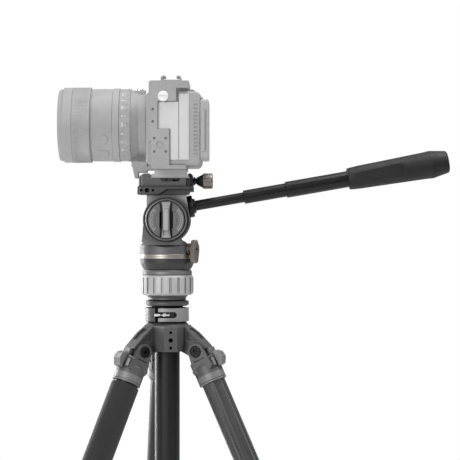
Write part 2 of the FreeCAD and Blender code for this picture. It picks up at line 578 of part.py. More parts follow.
def make_top_plate():
    """The tilting platform, with a thread and two pin holes in its port side."""
    x0, x1, y = TOP_PLATE_X0, TOP_PLATE_X1, TOP_PLATE_Y
    plate = soft_box(x0, x1, -y, y, TOP_PLATE_Z0, TOP_PLATE_Z1, 4.4, 1.0)
    z0, z1 = TOP_PLATE_Z0, TOP_PLATE_Z1
    under = [(-12.0, z0 - 1), (-9.0, z0 + 0.2), (0.5, z1 - 3.4), (24.5, z1 - 3.4), (40, z1 - 3.4),
             (40, z0 - 1)]
    for side in (-1, 1):
        cut = prism_y(under, side * (y - 4.0), side * (y + 2))
        plate = plate.cut(cut)
    tail = prism_y([(24.8, z0 - 1), (26.4, z0 + 3.4), (40, z0 + 3.4), (40, z0 - 1)], -40, 40)
    plate = plate.cut(tail)
    for x, r in TOP_HOLES:
        z = (z0 + z1) / 2
        plate = plate.cut(rod(r, V(x, -y - 1, z), V(x, -y + 9.0, z)))
    return plate.removeSplitter()


# ---- handle ---------------------------------------------------------------------------------------
def make_handle_inner():
    """The handle's innermost tube, with the round flange and threaded end that screw into the tilt block."""
    r = HANDLE_R[0]
    end = HANDLE_STEP[0] + 26
    return on_handle([(0, -15.5), (5.9, -15.5), (5.9, -4.4), (11.6, -4.4), (12.8, -3.2), (12.8, 0.4),
                      (11.8, 1.6),
                      (8.6, 1.6), (8.0, 4.2), (r, 4.2), (r, end), (r - 1.2, end), (r - 1.2, 6), (0, 6)])


def make_handle_middle():
    r, bore = HANDLE_R[1], HANDLE_R[0] + RUN
    start, end = HANDLE_STEP[0], HANDLE_STEP[1] + 27
    return on_handle([(bore, start), (r - 0.4, start), (r, start + 0.5), (r, end), (bore, end)])


def make_handle_outer():
    r, bore = HANDLE_R[2], HANDLE_R[1] + RUN
    start, end = HANDLE_STEP[1], HANDLE_STEP[2] + 40
    return on_handle([(bore, start), (r - 0.5, start), (r, start + 0.6), (r, end), (bore, end)])


def make_grip():
    """The moulded rubber grip, waisted at its lip and chamfered at its end."""
    a, e = HANDLE_STEP[2] - 1.5, HANDLE_STEP[3]
    r, bore = HANDLE_R[2], HANDLE_R[2]
    grip = on_handle([
        (bore, a), (11.4, a), (12.4, a + 0.8), (12.8, a + 4), (13.5, a + 14), (14.4, a + 50), (15.6, e - 28),
        (16.1, e - 20), (15.6, e - 17), (13.0, e - 2.4), (12.0, e - 0.6), (10.6, e), (0, e), (0, e - 22),
        (bore, e - 22)])
    panel = soft_box(a + 8, a + 66, -9.0, 9.0, 12.4, 20, 7.5, 1.0)
    scoop = [moved(handle_frame(turned(panel, q, V(1, 0, 0))), z=TILT_Z) for q in (90, -90)]
    return grip.cut(scoop[0]).cut(scoop[1]).removeSplitter()


# ---- clamp, knob and quick plate ------------------------------------------------------------------
def dovetail_left():
    return PLATE_MID_X - DOVETAIL_HALF


def dovetail_right():
    return PLATE_MID_X + DOVETAIL_HALF


PLATE_TOP = 204.0
PLATE_LEAN = 0.56          # how far the dovetail leans in for each mm of height
JAW_X1 = 30.4


def make_clamp_base():
    """The clamp body: a floor with one fixed dovetail jaw, and the screw's hole."""
    z0 = TOP_PLATE_Z1
    edge = dovetail_left() - 0.25
    outline = [(CLAMP_X0, z0), (CLAMP_X1, z0), (CLAMP_X1, CLAMP_FLOOR), (edge, CLAMP_FLOOR),
               (edge + PLATE_LEAN * 3.4, CLAMP_FLOOR + 3.4), (-20.2, JAW_TOP), (-26.2, JAW_TOP),
               (-30.2, JAW_TOP - 2.4), (CLAMP_X0, JAW_TOP - 5.6)]
    base = prism_y(outline, -CLAMP_Y, CLAMP_Y)
    corners = [e for e in edges_along(base, V(0, 0, 1)) if e.CenterOfMass.x < CLAMP_X0 + 0.1]
    base = base.makeFillet(5.0, corners)
    pocket = prism_y([(-3.2, CLAMP_FLOOR + 1), (-3.2, CLAMP_FLOOR - 1.0), (-1.4, CLAMP_FLOOR - 4.2),
                      (14.0, CLAMP_FLOOR - 4.2), (15.6, CLAMP_FLOOR - 1.0), (15.6, CLAMP_FLOOR + 1)],
                     -CLAMP_Y - 1, -CLAMP_Y + 7)
    base = base.cut(pocket).cut(pocket.mirror(V(0, 0, 0), V(0, 1, 0)))
    return base.cut(rod(3.0 + RUN, V(-12, 0, KNOB_Z), V(40, 0, KNOB_Z)))


def make_clamp_jaw():
    """The moving jaw, drawn in by the knob's screw."""
    x0 = CLAMP_X1 + 0.3
    edge = dovetail_right() + 0.25
    outline = [(x0, TOP_PLATE_Z1 + 0.3), (JAW_X1, TOP_PLATE_Z1 + 0.3), (JAW_X1, JAW_TOP - 5.4),
               (JAW_X1 - 0.9, JAW_TOP - 1.6), (JAW_X1 - 2.6, JAW_TOP), (edge - 1.2, JAW_TOP),
               (edge - PLATE_LEAN * 3.4, CLAMP_FLOOR + 3.4), (edge, CLAMP_FLOOR), (edge, CLAMP_FLOOR - 0.6),
               (x0, CLAMP_FLOOR - 0.6)]
    jaw = prism_y(outline, -CLAMP_Y + 1, CLAMP_Y - 1)
    jaw = jaw.makeFillet(3.5, [e for e in edges_along(jaw, V(0, 0, 1)) if e.CenterOfMass.x > JAW_X1 - 0.1])
    return jaw.cut(rod(3.0 + RUN, V(0, 0, KNOB_Z), V(40, 0, KNOB_Z)))


def make_clamp_knob():
    """The flared knob with its knurled bronze band and screw, built along +X."""
    band0, band1 = 42.0, 51.2
    knob = revolve([
        (0, -10), (3.0, -10), (3.0, 30.8), (4.6, 30.8), (4.9, 31.4), (4.9, 32.3), (3.4, 32.7), (3.4, 34.0),
        (4.4, 34.6),
        (8.0, band0 - 0.6), (9.0, band0), (9.0, band1), (8.4, 52.4), (7.2, 52.9), (0, 52.9)], V(1, 0, 0))
    for k in range(30):
        nick = turned(box(band0 + 0.6, band1 - 0.8, -0.3, 0.3, 8.6, 10), 12 * k, V(1, 0, 0))
        knob = knob.cut(nick)
    return moved(knob, z=KNOB_Z)


def make_quick_plate():
    """The dovetail plate under the cage, with the riser block that the cage's foot stands on."""
    a, b, t = dovetail_left(), dovetail_right(), PLATE_LEAN * (PLATE_TOP - CLAMP_FLOOR)
    low = CLAMP_FLOOR + 0.05
    plate = prism_y([(a, low), (b, low), (b - t, PLATE_TOP), (a + t, PLATE_TOP)], -19, 19)
    riser = soft_box(-14.2, 22.8, -17.5, 17.5, PLATE_TOP - 1, CAM_Z0 - 4.0, 2.5, 0.6)
    riser = riser.common(box(-40, 40, -40, 40, PLATE_TOP, 250))
    return plate.fuse(riser).removeSplitter()


# ---- camera ---------------------------------------------------------------------------------------
def plate_screw_hole():
    return rod(3.25, V(2.5, 0, CAM_Z0 - 5), V(2.5, 0, CAM_Z0 + 5))


def make_camera_body():
    """The camera's casing with its hand grip, mount ring, vents and the recess for its screen."""
    body = soft_box(CAM_X0, CAM_X1, CAM_Y0, CAM_Y1, CAM_Z0, CAM_Z1, 7.0, 3.0, "y")
    grip = soft_box(-45.0, -16.0, 44.0, CAM_Y1, CAM_Z0 + 1.0, CAM_Z1 + 2.5, 9.0, 3.5)
    slope = [(-19.0, CAM_Z1 - 2), (36.0, CAM_Z1 - 2), (31.0, CAM_Z1 + 3.2), (-15.5, CAM_Z1 + 3.2)]
    hump = prism_y(slope, -30, 70)
    body = body.fuse(grip).fuse(hump)
    mount = rod(34.0, V(CAM_X0 + 4, 0, LENS_Z), V(LENS_MOUNT_X, 0, LENS_Z))
    body = body.fuse(mount)
    body = body.cut(box(CAM_X1 - 1.4, CAM_X1 + 5, CAM_Y0 - 1, 39.0, CAM_Z0 + 6.5, CAM_Z1 - 8.0))
    for k in range(14):
        z = CAM_Z0 + 12 + 4.3 * k
        body = body.cut(box(32.0, 36.4, CAM_Y0 - 1, CAM_Y0 + 1.0, z, z + 2.0))
    doors = box(DOOR_X[0] - 0.2, DOOR_X[2] + 0.2, CAM_Y0 - 1, CAM_Y0 + 1.6, DOOR_Z[0] - 0.2, DOOR_Z[2] + 0.2)
    body = body.cut(doors)
    for x, z, w, h in PORTS:
        body = body.cut(box(x - w / 2, x + w / 2, CAM_Y0 - 1, CAM_Y0 + 7, z - h / 2, z + h / 2))
    body = body.cut(plate_screw_hole())
    collar = rod(7.6, V(-35, 62, CAM_Z1 - 4), V(-35, 62, SHUTTER_Z))
    well = rod(4.4 + RUN, V(-35, 62, SHUTTER_Z - 6), V(-35, 62, SHUTTER_Z + 4))
    return body.fuse(collar).cut(well).removeSplitter()


DOOR_X = (-8.8, 14.8, 26.4)
DOOR_Z = (218.6, 253.8, 294.0)
DOOR_FOOT = 5.0
DOOR_BEAD_R = 0.7          # the hinge bead at a door's outer edge
SHUTTER_Z = 306.0
PORTS = ((7.5, 276.0, 9.0, 9.0), (-1.5, 262.0, 9.0, 9.0), (9.0, 262.0, 6.0, 4.6), (20.5, 238.0, 5.6, 15.0),
         (20.5, 268.0, 4.6, 9.4))


def make_shutter():
    """The shutter button inside its power lever, on top of the hand grip."""
    profile = [(0, -4.2), (4.4, -4.2), (4.4, 1.5), (3.8, 2.2), (0, 1.9)]
    return revolve(profile, V(0, 0, 1), V(-35, 62, SHUTTER_Z - 0.2))


def make_lcd():
    """The hinged monitor on the camera's back."""
    lcd = soft_box(CAM_X1 - 1.2, CAM_X1 + 8.6, CAM_Y0 + 1.0, 38.0, CAM_Z0 + 7.5, CAM_Z1 - 9.0, 3.0, 1.2, "x")
    lcd = lcd.cut(box(CAM_X1 + 7.8, CAM_X1 + 10, CAM_Y0 + 7, 33.0, CAM_Z0 + 13, CAM_Z1 - 14.0))
    x, y = CAM_X1 + 2.2, CAM_Y0 - 2.1
    knuckle = moved(disc(2.0, CAM_Z0 + 16, CAM_Z1 - 20), x, y)
    web = box(x - 1.0, x + 1.2, y, CAM_Y0 + 2.0, CAM_Z0 + 18, CAM_Z1 - 22)
    return lcd.fuse(knuckle).fuse(web).removeSplitter()


def make_door(front):
    """A cover over the sockets on the port side, hinged at a bead: L-shaped in front, tall behind."""
    y0, y1 = CAM_Y0 - 0.9, CAM_Y0 + 1.4
    if front:
        door = box(DOOR_X[0], DOOR_X[1] - 0.25, y0, y1, DOOR_Z[1], DOOR_Z[2] - 9.4)
        door = door.fuse(box(DOOR_FOOT, DOOR_X[1] - 0.25, y0, y1, DOOR_Z[0], DOOR_Z[1] + 1))
    else:
        door = box(DOOR_X[1] + 0.25, DOOR_X[2], y0, y1, DOOR_Z[0], DOOR_Z[2])
    door = door.removeSplitter()
    door = door.makeFillet(0.7, [e for e in door.Edges if abs(e.CenterOfMass.y - y0) < 1e-6])
    x = DOOR_X[0] + DOOR_BEAD_R if front else DOOR_X[2] - DOOR_BEAD_R
    foot, top = (DOOR_Z[1], DOOR_Z[2] - 9.4) if front else (DOOR_Z[0], DOOR_Z[2])
    bead = rod(DOOR_BEAD_R, V(x, y0 + 0.35, foot), V(x, y0 + 0.35, top))
    return door.fuse(bead).removeSplitter()


def make_cage():
    """The half cage: a base, a front post and a top bracket with its cold shoe, and the lens foot."""
    x0, x1 = -19.2, 26.0
    y1 = CAM_Y0 - 0.05
    base = soft_box(-14.2, 22.8, -49.0, 66.0, CAM_Z0 - 4.0, CAM_Z0 - 0.05, 3.0, 0.8)
    post = box(x0, -9.2, CAGE_Y, y1, 240.0, CAGE_TOP - 4)
    shelf = soft_box(-16.4, 4.2, CAGE_Y, y1 + 3, CAM_Z0 - 4.0, 253.4, 2.0, 0.8, "y").common(
        box(-60, 60, CAGE_Y, y1, 0, 400))
    head = box(x0, 11.8, CAGE_Y, y1, 285.2, CAGE_TOP)
    step = box(x0, x1, CAGE_Y, y1 + 6, CAM_Z1 + 3.5, CAGE_TOP)
    roof = box(x0, x1, CAGE_Y, 34.0, CAM_Z1 + 3.5, CAGE_TOP)
    side = post.fuse(shelf).fuse(head).fuse(step).fuse(roof).removeSplitter()
    corner = [(x0 - 1, CAGE_TOP - 3.4), (x0 + 2.4, CAGE_TOP + 1), (x0 - 1, CAGE_TOP + 1)]
    side = side.cut(prism_y(corner, -60, 60))
    foot = box(-14.2, 22.8, CAGE_Y, -46.0, CAM_Z0 - 4.0, CAM_Z0 - 0.05)
    cage = side.fuse(foot).fuse(base).removeSplitter()
    cage = cage.cut(soft_box(-10.0, 16.0, -40.0, -22.0, CAM_Z1, CAGE_TOP + 2, 4.0, 0.3))
    cage = cage.cut(plate_screw_hole())
    for x, z in CAGE_HOLES:
        cage = cage.cut(rod(1.6, V(x, CAGE_Y - 1, z), V(x, CAGE_Y + 3.0, z)))
    cage = cage.cut(rod(4.6, V(-6.2, CAGE_Y - 1, 235.5), V(-6.2, CAGE_Y + 1.2, 235.5)))
    support = prism_y([(-41.2, 219.0), (-23.2, 219.0), (-23.2, 206.0), (-33.2, 206.0), (-33.2, 199.2),
                       (-37.0, 199.2)],
                      -15.0, 15.0)
    support = support.cut(rod(45.2, V(-60, 0, LENS_Z), V(0, 0, LENS_Z)))
    bridge = box(-25.0, -13.0, -15.0, 15.0, CAM_Z0 - 4.0, CAM_Z0 - 0.05)
    cage = cage.fuse(support).fuse(bridge)
    shoe = box(SHOE_X - 11.9, SHOE_X + 11.9, -11.5, 11.5, CAGE_TOP - 0.5, CAGE_TOP + 9.0)
    channel = box(SHOE_X - 9.4, SHOE_X + 9.4, -13, 13, CAGE_TOP + 4.4, CAGE_TOP + 7.0).fuse(
        box(SHOE_X - 6.4, SHOE_X + 6.4, -13, 13, CAGE_TOP + 6.7, CAGE_TOP + 12))
    lips = [e for e in edges_along(shoe, V(0, 1, 0)) if e.CenterOfMass.z > CAGE_TOP + 8.5]
    shoe = shoe.makeFillet(2.6, lips)
    return cage.fuse(shoe.cut(channel)).removeSplitter()


CAGE_HOLES = ((-12.6, 243.0), (-12.6, 228.0), (0.4, 243.0), (0.4, 228.0), (-14.4, 262.0), (-14.4, 276.0))
SHOE_X = 4.7


def make_cage_screws():
    """The cage's slotted locating screw and the plate screw under the base."""
    x, z = -2.8, 290.6
    head = revolve([(0, 0), (5.9, 0), (5.9, 1.6), (5.2, 2.3), (0, 2.3)], V(0, -1, 0), V(x, CAGE_Y, z))
    head = head.cut(box(x - 4.6, x + 4.6, CAGE_Y - 3, CAGE_Y - 1.1, z - 0.6, z + 0.6))
    stem = rod(3.15, V(2.5, 0, CAM_Z0 - 3.9), V(2.5, 0, CAM_Z0 + 4.6))
    return Part.makeCompound([head, stem])


def on_lens(profile):
    """Turns an outline of (radius, x) about the lens's axis."""
    return revolve(profile, V(1, 0, 0), V(0, 0, LENS_Z))


FOCUS_X = (-107.9, -87.2)
IRIS_X = (-53.9, -41.0)
CORE_R = 36.5
LENS_FRONT = -124.0


def make_lens_barrel():
    """The lens's fixed body: front bezel with its filter thread, barrel, and the taper to the mount."""
    f0, f1 = FOCUS_X
    i0, i1 = IRIS_X
    barrel = on_lens([
        (30.0, -114.2), (36.0, -118.0), (36.0, LENS_FRONT), (40.4, LENS_FRONT), (41.4, LENS_FRONT + 1.4),
        (41.6, -118.8), (43.3, -118.5), (43.4, -117.6), (43.4, f0 - 0.2), (CORE_R, f0 - 0.2),
        (CORE_R, f1 + 0.2),
        (41.0, f1 + 0.2), (41.0, f1 + 1.8), (41.9, f1 + 2.2), (41.9, -62.0), (41.4, -61.8), (42.6, -61.2),
        (42.6, i0 - 0.2), (CORE_R, i0 - 0.2), (CORE_R, i1 + 0.2), (40.9, i1 + 0.2), (35.4, -31.9),
        (35.2, LENS_MOUNT_X - 0.1), (24.0, LENS_MOUNT_X - 0.1), (24.0, -37.0), (30.0, -41.0)])
    button = rod(4.4, V(-71.5, -42.6, LENS_Z - 19.0), V(-71.5, -30.0, LENS_Z - 19.0))
    switch = box(-79.5, -66.5, -35.4, -20.0, LENS_Z - 36.0, LENS_Z - 31.0)
    switch = turned(switch, 0)
    barrel = barrel.fuse(turned(button.common(rod(42.5, V(-90, 0, LENS_Z), V(-60, 0, LENS_Z))), 0))
    return barrel.fuse(switch.common(rod(42.5, V(-90, 0, LENS_Z), V(-60, 0, LENS_Z)))).removeSplitter()


def make_focus_ring():
    f0, f1 = FOCUS_X
    inner = CORE_R + 0.1
    ring = on_lens([(inner, f0), (43.0, f0), (43.6, f0 + 0.6), (43.6, f1 - 0.6), (43.0, f1), (inner, f1)])
    for k in range(72):
        nick = box(f0 + 3.0, f1 - 3.0, -0.55, 0.55, 43.1, 45)
        ring = ring.cut(moved(turned(nick, 5 * k, V(1, 0, 0)), z=LENS_Z))
    return ring


def make_iris_ring():
    i0, i1 = IRIS_X
    ring = on_lens([(CORE_R + 0.1, i0), (41.2, i0), (41.8, i0 + 0.6), (41.8, i1 - 4.6), (42.2, i1 - 4.2),
                    (42.2, i1 - 0.6), (41.6, i1), (CORE_R + 0.1, i1)])
    for k in range(36):
        nick = box(i1 - 4.0, i1 - 0.8, -0.9, 0.9, 41.7, 45)
        ring = ring.cut(moved(turned(nick, 10 * k, V(1, 0, 0)), z=LENS_Z))
    return ring


def make_lens_glass():
    """The front element, domed forwards, and the rear element."""
    dome = Part.makeSphere(62.0, V(-55.9, 0, LENS_Z))
    front = dome.common(rod(29.9, V(-130, 0, LENS_Z), V(-109.0, 0, LENS_Z)))
    rear = on_lens([(0, -32.0), (20.0, -32.0), (23.9, -29.0), (23.9, -26.0), (0, -26.0)])
    return Part.makeCompound([front.Solids[0], rear.Solids[0]])


# ---- build every node -----------------------------------------------------------------------------
save("spider", raised(make_spider()))
save("tripod_bolts", raised(Part.makeCompound(make_hinge_bolts().Solids + [make_clamp_bolt()])))
save("column_clamp_band", raised(make_clamp_band()))
save("column_clamp_lever", raised(make_clamp_lever()))
save("center_column", raised(make_column()))
save("column_top_plate", raised(make_column_plate()))
save("column_hook", raised(make_column_hook()))

shoulder, latch, foot = make_shoulder(), make_latch(), make_foot()
upper_lock = make_lock(UPPER_R, MIDDLE_R, 16.4, UPPER_END - 8)
lower_lock = make_lock(MIDDLE_R, LOWER_R, 14.2, MIDDLE_END - 8)
upper_tube = tube(UPPER_R, UPPER_BORE, TUBE_START, UPPER_END)
middle_tube = sliding_tube(MIDDLE_R, MIDDLE_BORE, MIDDLE_START, MIDDLE_END, UPPER_BORE - RUN)
lower_tube = sliding_tube(LOWER_R, LOWER_BORE, LOWER_START, LOWER_END, MIDDLE_BORE - RUN)
for side, azimuth in LEG_AZIMUTH.items():
    save("leg_shoulder_" + side, to_leg(shoulder, azimuth))
    save("angle_latch_" + side, to_leg(latch, azimuth))
    save("upper_tube_" + side, to_leg(upper_tube, azimuth))
    save("upper_lock_" + side, to_leg(upper_lock, azimuth))
    save("middle_tube_" + side, to_leg(middle_tube, azimuth))
    save("lower_lock_" + side, to_leg(lower_lock, azimuth))
    save("lower_tube_" + side, to_leg(lower_tube, azimuth))
    save("foot_" + side, to_leg(foot, azimuth))
save("foam_grip", to_leg(make_foam(), LEG_AZIMUTH["left"]))

save("head_base", raised(make_head_base()))
save("pan_drag_ring", raised(make_drag_ring()))
save("pan_housing", raised(make_pan_housing()))
save("pan_trim_band", raised(make_pan_band()))
save("pan_lock_lever", raised(make_pan_lock()))
save("tilt_body", raised(make_tilt_body()))
save("tilt_axle", raised(make_tilt_axle()))
save("tilt_drag_dial", raised(make_dial()))
save("top_plate", raised(make_top_plate()))
save("handle_inner_tube", raised(make_handle_inner()))
save("handle_middle_tube", raised(make_handle_middle()))
save("handle_outer_tube", raised(make_handle_outer()))
save("handle_grip", raised(make_grip()))

save("clamp_base", raised(make_clamp_base()))
save("clamp_jaw", raised(make_clamp_jaw()))
save("clamp_knob", raised(make_clamp_knob()))
save("quick_plate", raised(make_quick_plate()))

save("camera_body", raised(make_camera_body()))
save("camera_cage", raised(make_cage()))
save("cage_screws", raised(make_cage_screws()))
save("camera_monitor", raised(make_lcd()))
save("port_door_front", raised(make_door(True)))
save("port_door_rear", raised(make_door(False)))
save("shutter_button", raised(make_shutter()))
save("lens_barrel", raised(make_lens_barrel()))
save("lens_focus_ring", raised(make_focus_ring()))
save("lens_iris_ring", raised(make_iris_ring()))
save("lens_glass", raised(make_lens_glass()))
print(len(NODES), "nodes")
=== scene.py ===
"""Studio scene of a caged video camera on a compact fluid head and a carbon travel tripod.

Metres throughout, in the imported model's frame: +Z up, the lens points along -X, the handle leaves along +X.
"""
import bpy
import bmesh
import json
import math
from mathutils import Matrix, Vector


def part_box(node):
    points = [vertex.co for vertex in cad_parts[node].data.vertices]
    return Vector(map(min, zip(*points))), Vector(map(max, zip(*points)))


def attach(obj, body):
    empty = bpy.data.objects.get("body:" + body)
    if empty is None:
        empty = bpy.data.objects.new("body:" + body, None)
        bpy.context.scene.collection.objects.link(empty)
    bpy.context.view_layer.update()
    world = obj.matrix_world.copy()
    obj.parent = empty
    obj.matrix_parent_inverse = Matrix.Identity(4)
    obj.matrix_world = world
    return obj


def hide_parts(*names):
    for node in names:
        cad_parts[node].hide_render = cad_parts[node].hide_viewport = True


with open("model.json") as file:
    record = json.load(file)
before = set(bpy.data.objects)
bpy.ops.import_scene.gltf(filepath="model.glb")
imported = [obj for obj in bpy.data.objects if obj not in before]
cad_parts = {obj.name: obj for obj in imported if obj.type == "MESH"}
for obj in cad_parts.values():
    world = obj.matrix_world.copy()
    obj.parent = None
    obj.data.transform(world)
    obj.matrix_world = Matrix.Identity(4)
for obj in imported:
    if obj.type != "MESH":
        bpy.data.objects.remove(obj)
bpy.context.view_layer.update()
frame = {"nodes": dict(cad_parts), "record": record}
nodes = frame["nodes"]
record = frame["record"]
scene = bpy.context.scene
MM = 0.001
JOINTS = {j["name"]: j for j in record["behaviour"]["joints"]}
SLOTS = {part["node"]: part["material_slot"] for part in record["subparts"]}


def middle(node):
    """The middle of a CAD node's box."""
    low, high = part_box(node)
    return (Vector(low) + Vector(high)) / 2


TILT = middle("tilt_axle")         # a point on the tilt axis
TILT.x = 0.0
LENS = middle("lens_focus_ring")   # a point on the lens's axis
LENS.x = 0.0


# ---- finishes -------------------------------------------------------------------------------------
class Finish:
    """A procedural material. Constant values go straight on the shader's own sockets."""

    def __init__(self, name, roughness=0.5, metallic=0.0, specular=0.5, coat=0.0, coat_roughness=0.1,
                 lift=0.0):
        self.mat = bpy.data.materials.new(name)
        self.mat.use_nodes = True
        self.tree = self.mat.node_tree
        self.shader = self.tree.nodes["Principled BSDF"]
        self.set("Roughness", roughness)
        self.set("Metallic", metallic)
        self.set("Specular IOR Level", specular)
        if coat:
            self.set("Coat Weight", coat)
            self.set("Coat Roughness", coat_roughness)
        # Painted light: an even faint glow that lightens the surface's shade.
        if lift:
            self.set("Emission Color", (1, 1, 1, 1))
            self.set("Emission Strength", lift)
        self.place = self.node("TexCoord").outputs["Object"]
        self.normal = None

    def set(self, socket, value):
        self.shader.inputs[socket].default_value = value

    def node(self, kind, sockets=None, **settings):
        made = self.tree.nodes.new("ShaderNode" + kind)
        for key, value in settings.items():
            setattr(made, key, value)
        for key, value in (sockets or {}).items():
            if isinstance(value, bpy.types.NodeSocket):
                self.tree.links.new(value, made.inputs[key])
            else:
                made.inputs[key].default_value = value
        return made

    def link(self, output, socket):
        self.tree.links.new(output, self.shader.inputs[socket])

    def noise(self, scale, detail=3.0, rough=0.55, place=None):
        sockets = {"Vector": place or self.place, "Scale": scale, "Detail": detail, "Roughness": rough}
        return self.node("TexNoise", sockets).outputs["Fac"]

    def remap(self, value, low, high, to_low=0.0, to_high=1.0):
        sockets = {"Value": value, "From Min": low, "From Max": high, "To Min": to_low, "To Max": to_high}
        return self.node("MapRange", sockets).outputs["Result"]

    def maths(self, operation, a, b=0.0):
        return self.node("Math", {0: a, 1: b}, operation=operation).outputs[0]

    def mix(self, factor, a, b):
        def rgba(c):
            return c if isinstance(c, bpy.types.NodeSocket) else (*c, 1.0)
        return self.node("Mix", {0: factor, 6: rgba(a), 7: rgba(b)}, data_type="RGBA").outputs[2]

    def stretched(self, scale):
        return self.node("Mapping", {"Vector": self.place, "Scale": scale}).outputs[0]

    def beyond(self, axis, level, soft=0.0002):
        """1 where the surface lies past a level along a direction, and 0 before it."""
        direction = {"X": (1, 0, 0), "Y": (0, 1, 0), "Z": (0, 0, 1)}.get(axis, axis)
        dot = self.node("VectorMath", {0: self.place, 1: direction}, operation="DOT_PRODUCT")
        along = dot.outputs["Value"]
        return self.remap(along, level - soft, level + soft)

    def edges(self, radius=0.0007):
        """1 on the object's outer edges and 0 on its faces, from the way that a rounded normal turns."""
        rounded = self.node("Bevel", {"Radius": radius}, samples=6).outputs[0]
        flat = self.node("NewGeometry").outputs["Normal"]
        turn = self.node("VectorMath", {0: rounded, 1: flat}, operation="DOT_PRODUCT").outputs["Value"]
        return self.remap(turn, 0.985, 0.80)

    def painted_crevice_shade(self, colour, depth, keep=0.3):
        """Painted shade: the colour darkens where the surface meets another closely."""
        open_air = self.node("AmbientOcclusion", {"Distance": depth}, samples=6).outputs["AO"]
        return self.mix(self.remap(open_air, 0.35, 0.95, 1.0 - keep, 0.0), colour, grey(0.006))

    def soften(self, radius=0.0004):
        """Light catches the edges as if they were a little round."""
        self.normal = self.node("Bevel", {"Radius": radius}, samples=6).outputs[0]

    def bump(self, height, distance, strength=1.0):
        made = self.node("Bump", {"Height": height, "Distance": distance, "Strength": strength})
        if self.normal is not None:
            self.tree.links.new(self.normal, made.inputs["Normal"])
        self.normal = made.outputs[0]

    def done(self):
        if self.normal is not None:
            self.link(self.normal, "Normal")
        return self.mat


def grey(value, warm=0.0):
    """A grey tone, with red raised and blue lowered by the share of warm."""
    return (value * (1 + warm), value, value * (1 - warm))


def coated_metal(name, tone, roughness=0.42, grain=2600.0, edge_wear_and_highlight=0.16, depth=0.00004, warm=0.0, metallic=0.25,
                 specular=0.5, lift=0.0, zone=None):
    """Anodised or powder-coated metal: a fine pebbled grain, slow unevenness, edges lighter partly from
    scuffing and partly as a painted highlight, and painted shade where parts meet closely.

    A zone is (axis, level, tone): beyond that level along the axis the metal has the second tone."""
    f = Finish(name, metallic=metallic, specular=specular, lift=lift)
    f.soften()
    slow = f.noise(28.0, 4.0)
    fine = f.noise(grain, 2.0)
    body = f.mix(f.remap(slow, 0.3, 0.7), grey(tone * 0.88, warm), grey(tone * 1.1, warm))
    if zone:
        axis, level, other = zone
        second = f.mix(f.remap(slow, 0.3, 0.7), grey(other * 0.88, warm), grey(other * 1.1, warm))
        body = f.mix(f.beyond(axis, level), body, second)
    # Lighter edges: partly scuffed metal, partly a painted highlight.
    scuffed_and_lit_edges = f.maths("MULTIPLY", f.edges(), f.remap(f.noise(340.0, 5.0), 0.35, 0.65, 0.35, 1.0))
    body = f.mix(f.maths("MULTIPLY", scuffed_and_lit_edges, edge_wear_and_highlight), body, grey(min(1.0, tone * 2.6 + 0.12), warm))
    # Painted shade where parts meet closely, left off the glowing pale parts.
    if not lift:
        body = f.painted_crevice_shade(body, 0.009, 0.15)
    f.link(body, "Base Color")
    f.link(f.remap(f.noise(90.0, 5.0), 0.25, 0.75, roughness - 0.06, roughness + 0.07), "Roughness")
    f.bump(fine, depth)
    return f.done()


def soft_plastic(name, tone, roughness=0.55, grain=1500.0, depth=0.00003, warm=0.0, specular=0.3, lift=0.0,
                 leather_from=None):
    """Moulded plastic or painted casing: fine grain and faint smudges, and leatherette past a level of Y."""
    f = Finish(name, specular=specular, lift=lift)
    f.soften(0.0003)
    slow = f.noise(16.0, 5.0)
    f.link(f.mix(f.remap(slow, 0.3, 0.7), grey(tone * 0.94, warm), grey(tone * 1.05, warm)), "Base Color")
    f.link(f.remap(f.noise(60.0, 4.0), 0.3, 0.7, roughness - 0.05, roughness + 0.06), "Roughness")
    cells = f.node("TexVoronoi", {"Vector": f.place, "Scale": grain}).outputs["Distance"]
    f.bump(cells, depth)
    if leather_from is not None:
        hide = f.node("TexVoronoi", {"Vector": f.place, "Scale": 620.0, "Randomness": 0.8})
        f.bump(f.maths("MULTIPLY", hide.outputs["Distance"], f.beyond("Y", leather_from)), 0.00035)
    return f.done()


def rubber(name, tone, roughness=0.72, depth=0.00006, grain=1100.0, lift=0.0):
    """Matte rubber with a dusty, slightly uneven surface."""
    f = Finish(name, specular=0.35, lift=lift)
    f.soften(0.0005)
    dust = f.remap(f.noise(45.0, 6.0, 0.65), 0.35, 0.75)
    # Lighter edges: partly rubbed, partly a painted highlight.
    edge = f.maths("MULTIPLY", f.edges(0.0009), 0.25)
    body = f.mix(dust, grey(tone * 0.85), grey(tone * 1.25))
    f.link(f.mix(edge, body, grey(tone * 2.5 + 0.02)), "Base Color")
    f.link(f.remap(f.noise(120.0), 0.3, 0.7, roughness - 0.06, roughness + 0.08), "Roughness")
    f.bump(f.noise(grain, 3.0), depth)
    return f.done()


def foam(name, tone):
    """Closed-cell foam: small open pores, soft and very matte."""
    f = Finish(name, specular=0.22)
    pores = f.node("TexVoronoi", {"Vector": f.place, "Scale": 900.0}).outputs["Distance"]
    slow = f.noise(35.0, 5.0)
    f.link(f.mix(f.remap(slow, 0.3, 0.7), grey(tone * 0.82), grey(tone * 1.25)), "Base Color")
    f.link(f.remap(pores, 0.0, 0.8, 0.9, 0.7), "Roughness")
    f.set("Sheen Weight", 0.12)
    f.set("Sheen Roughness", 0.6)
    f.bump(pores, 0.00012)
    f.bump(slow, 0.0003, 0.4)
    return f.done()


